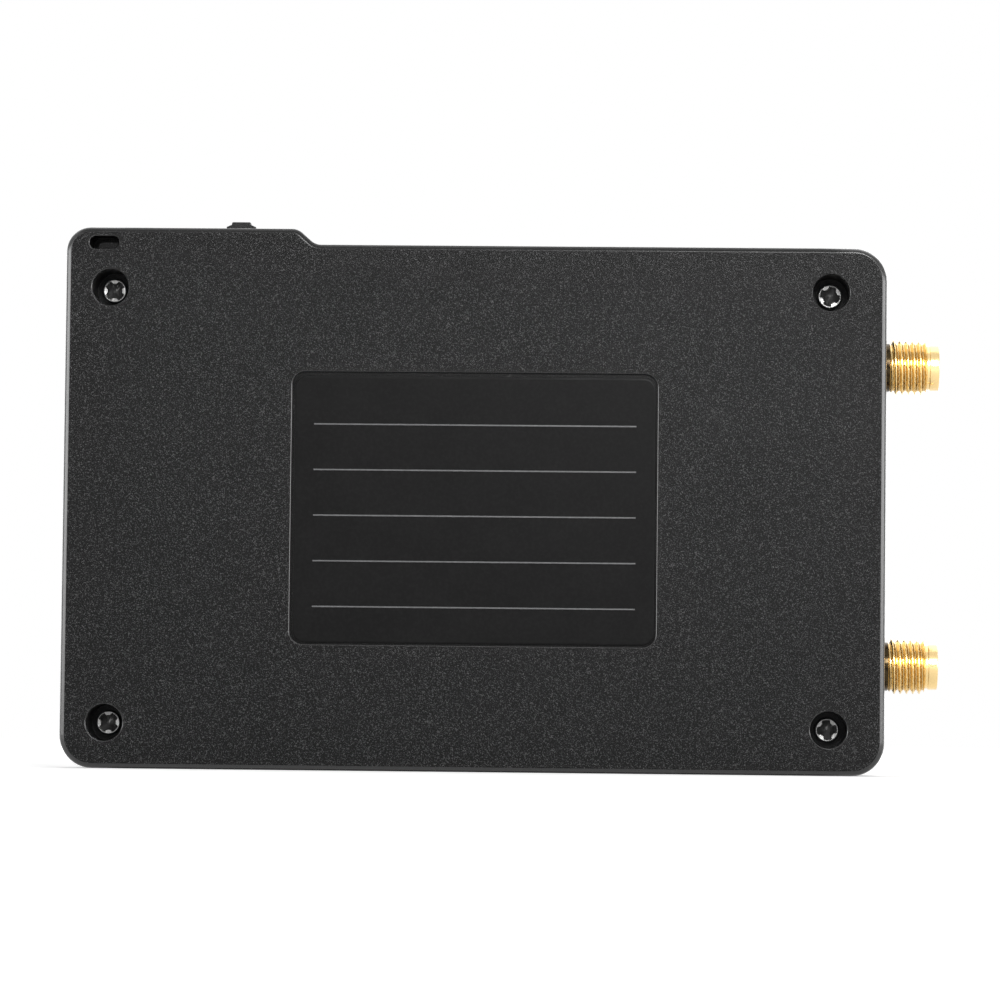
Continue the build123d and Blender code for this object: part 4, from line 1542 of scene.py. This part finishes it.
@dataclass
class Studio:
    """Camera, soft lamps, pale floor and white surroundings."""

    camera_place: Point = (17.85 * MM, -517.95 * MM, 3.565 * MM)
    yaw_deg: float = 1.6705
    tilt_deg: float = 3.0371
    roll_deg: float = 0.6122
    lens_mm: float = 163.29
    sensor_mm: float = 36.0
    clip: Span = (0.01, 50.0)
    paper: Colour = (0.86, 0.86, 0.86)
    paper_roughness: float = 0.9
    floor_radius: float = 5.0
    floor_steps: int = 96
    ambient: float = 0.1
    near_glow: float = 0.36
    glow_reach: Span = (0.12, 0.7)
    lamps: tuple[SoftBox, ...] = (
        SoftBox("lamp_front", (0.07, -0.36, 0.18), (0.11, 0.11), 0.97),
        SoftBox("lamp_left", (-0.75, -0.49, 0.13), (1.1, 0.22), 4.4),
        SoftBox("lamp_right", (0.75, -0.49, 0.13), (1.1, 0.22), 4.4),
        SoftBox("lamp_over", (0.0, 0.35, 0.9), (1.5, 1.0), 6.0),
        SoftBox("lamp_behind", (0.1, 0.9, 0.3), (1.0, 0.7), 5.0),
    )

    def camera(self) -> None:
        """Aim the camera.

        Forward is (-sin yaw cos tilt, cos yaw cos tilt, sin tilt), and the roll turns the
        level right and up vectors about it.
        """
        yaw, tilt, roll = map(math.radians, (self.yaw_deg, self.tilt_deg, self.roll_deg))
        reach = math.cos(tilt)
        forward = Vector((-math.sin(yaw) * reach, math.cos(yaw) * reach, math.sin(tilt)))
        level = Vector((math.cos(yaw), math.sin(yaw), 0.0))
        upright = level.cross(forward)
        right = math.cos(roll) * level + math.sin(roll) * upright
        up = -math.sin(roll) * level + math.cos(roll) * upright
        data = bpy.data.cameras.new("camera")
        data.lens, data.sensor_width = self.lens_mm, self.sensor_mm
        data.clip_start, data.clip_end = self.clip
        holder = add_object("camera", data)
        turn = Matrix((right, up, -forward)).transposed().to_4x4()
        holder.matrix_world = Matrix.Translation(self.camera_place) @ turn
        bpy.context.scene.camera = holder

    def seen_directly(self, graph: Graph) -> Socket:
        """Pick out the rays that see the white surroundings.

        Args:
            graph: the graph to add to.

        Returns:
            1 for camera, glossy and transmission rays, 0 for others.
        """
        rays = graph.add("ShaderNodeLightPath").outputs
        either = graph.calculate("MAXIMUM", rays["Is Camera Ray"], rays["Is Glossy Ray"])
        return graph.calculate("MAXIMUM", either, rays["Is Transmission Ray"])

    def world(self) -> None:
        """Even grey light, which the camera and reflections see as white."""
        world = bpy.data.worlds.new("surroundings")
        world.use_nodes = True
        bpy.context.scene.world = world
        graph = Graph(world.node_tree)
        strength = graph.spread(self.seen_directly(graph), 0.0, 1.0, self.ambient, 1.0)
        background = world.node_tree.nodes["Background"]
        graph.fill(background, Color=WHITE, Strength=strength)

    def floor(self) -> None:
        """Pale round floor under the object: white where lit, grey in the object's shadow.

        Far from the object, where the lamps fade, a glow takes over with the distance.
        """
        angle = np.linspace(0, 2 * math.pi, self.floor_steps, endpoint=False)
        rim = np.stack([np.cos(angle), np.sin(angle), 0 * angle], axis=-1) * self.floor_radius
        mesh = bpy.data.meshes.new("floor")
        mesh.from_pydata(rim.tolist(), [], [tuple(range(len(rim)))])
        graph = MaterialGraph("floor_paper", self.paper)
        reach = graph.add("ShaderNodeVectorMath", operation="LENGTH")
        graph.feed(reach.inputs[0], graph.place)
        far = graph.spread(reach.outputs["Value"], *self.glow_reach, self.near_glow, 1.0)
        glow = graph.calculate("MULTIPLY", self.seen_directly(graph), far)
        graph.shade(Roughness=self.paper_roughness, Specular_IOR_Level=0.0)
        graph.shade(Emission_Color=WHITE, Emission_Strength=glow)
        mesh.materials.append(graph.material)
        floor = add_object("floor", mesh)

    def build(self) -> None:
        """Set up the whole studio."""
        bpy.context.scene.view_settings.view_transform = "Standard"
        target = (CAD_BOX[0] + CAD_BOX[1]) / 2
        for lamp in self.lamps:
            lamp.build(target)
        self.world()
        self.floor()
        self.camera()


def main() -> None:
    """Dress the frame, build the pieces in order and set up the studio."""
    logging.basicConfig(level=logging.INFO, format="%(name)s %(message)s")
    palette = Palette()
    palette.dress_frame()
    assemblies = [
        CoverScrews(palette),
        BackLabel(palette),
        *(CoaxialPort(number, palette) for number in (0, 1)),
        UsbContacts(palette),
        FrontMarks(palette),
        Studio(),
    ]
    for assembly in assemblies:
        log.info("building %s", type(assembly).__name__)
        assembly.build()


if __name__ == "__main__":
    main()
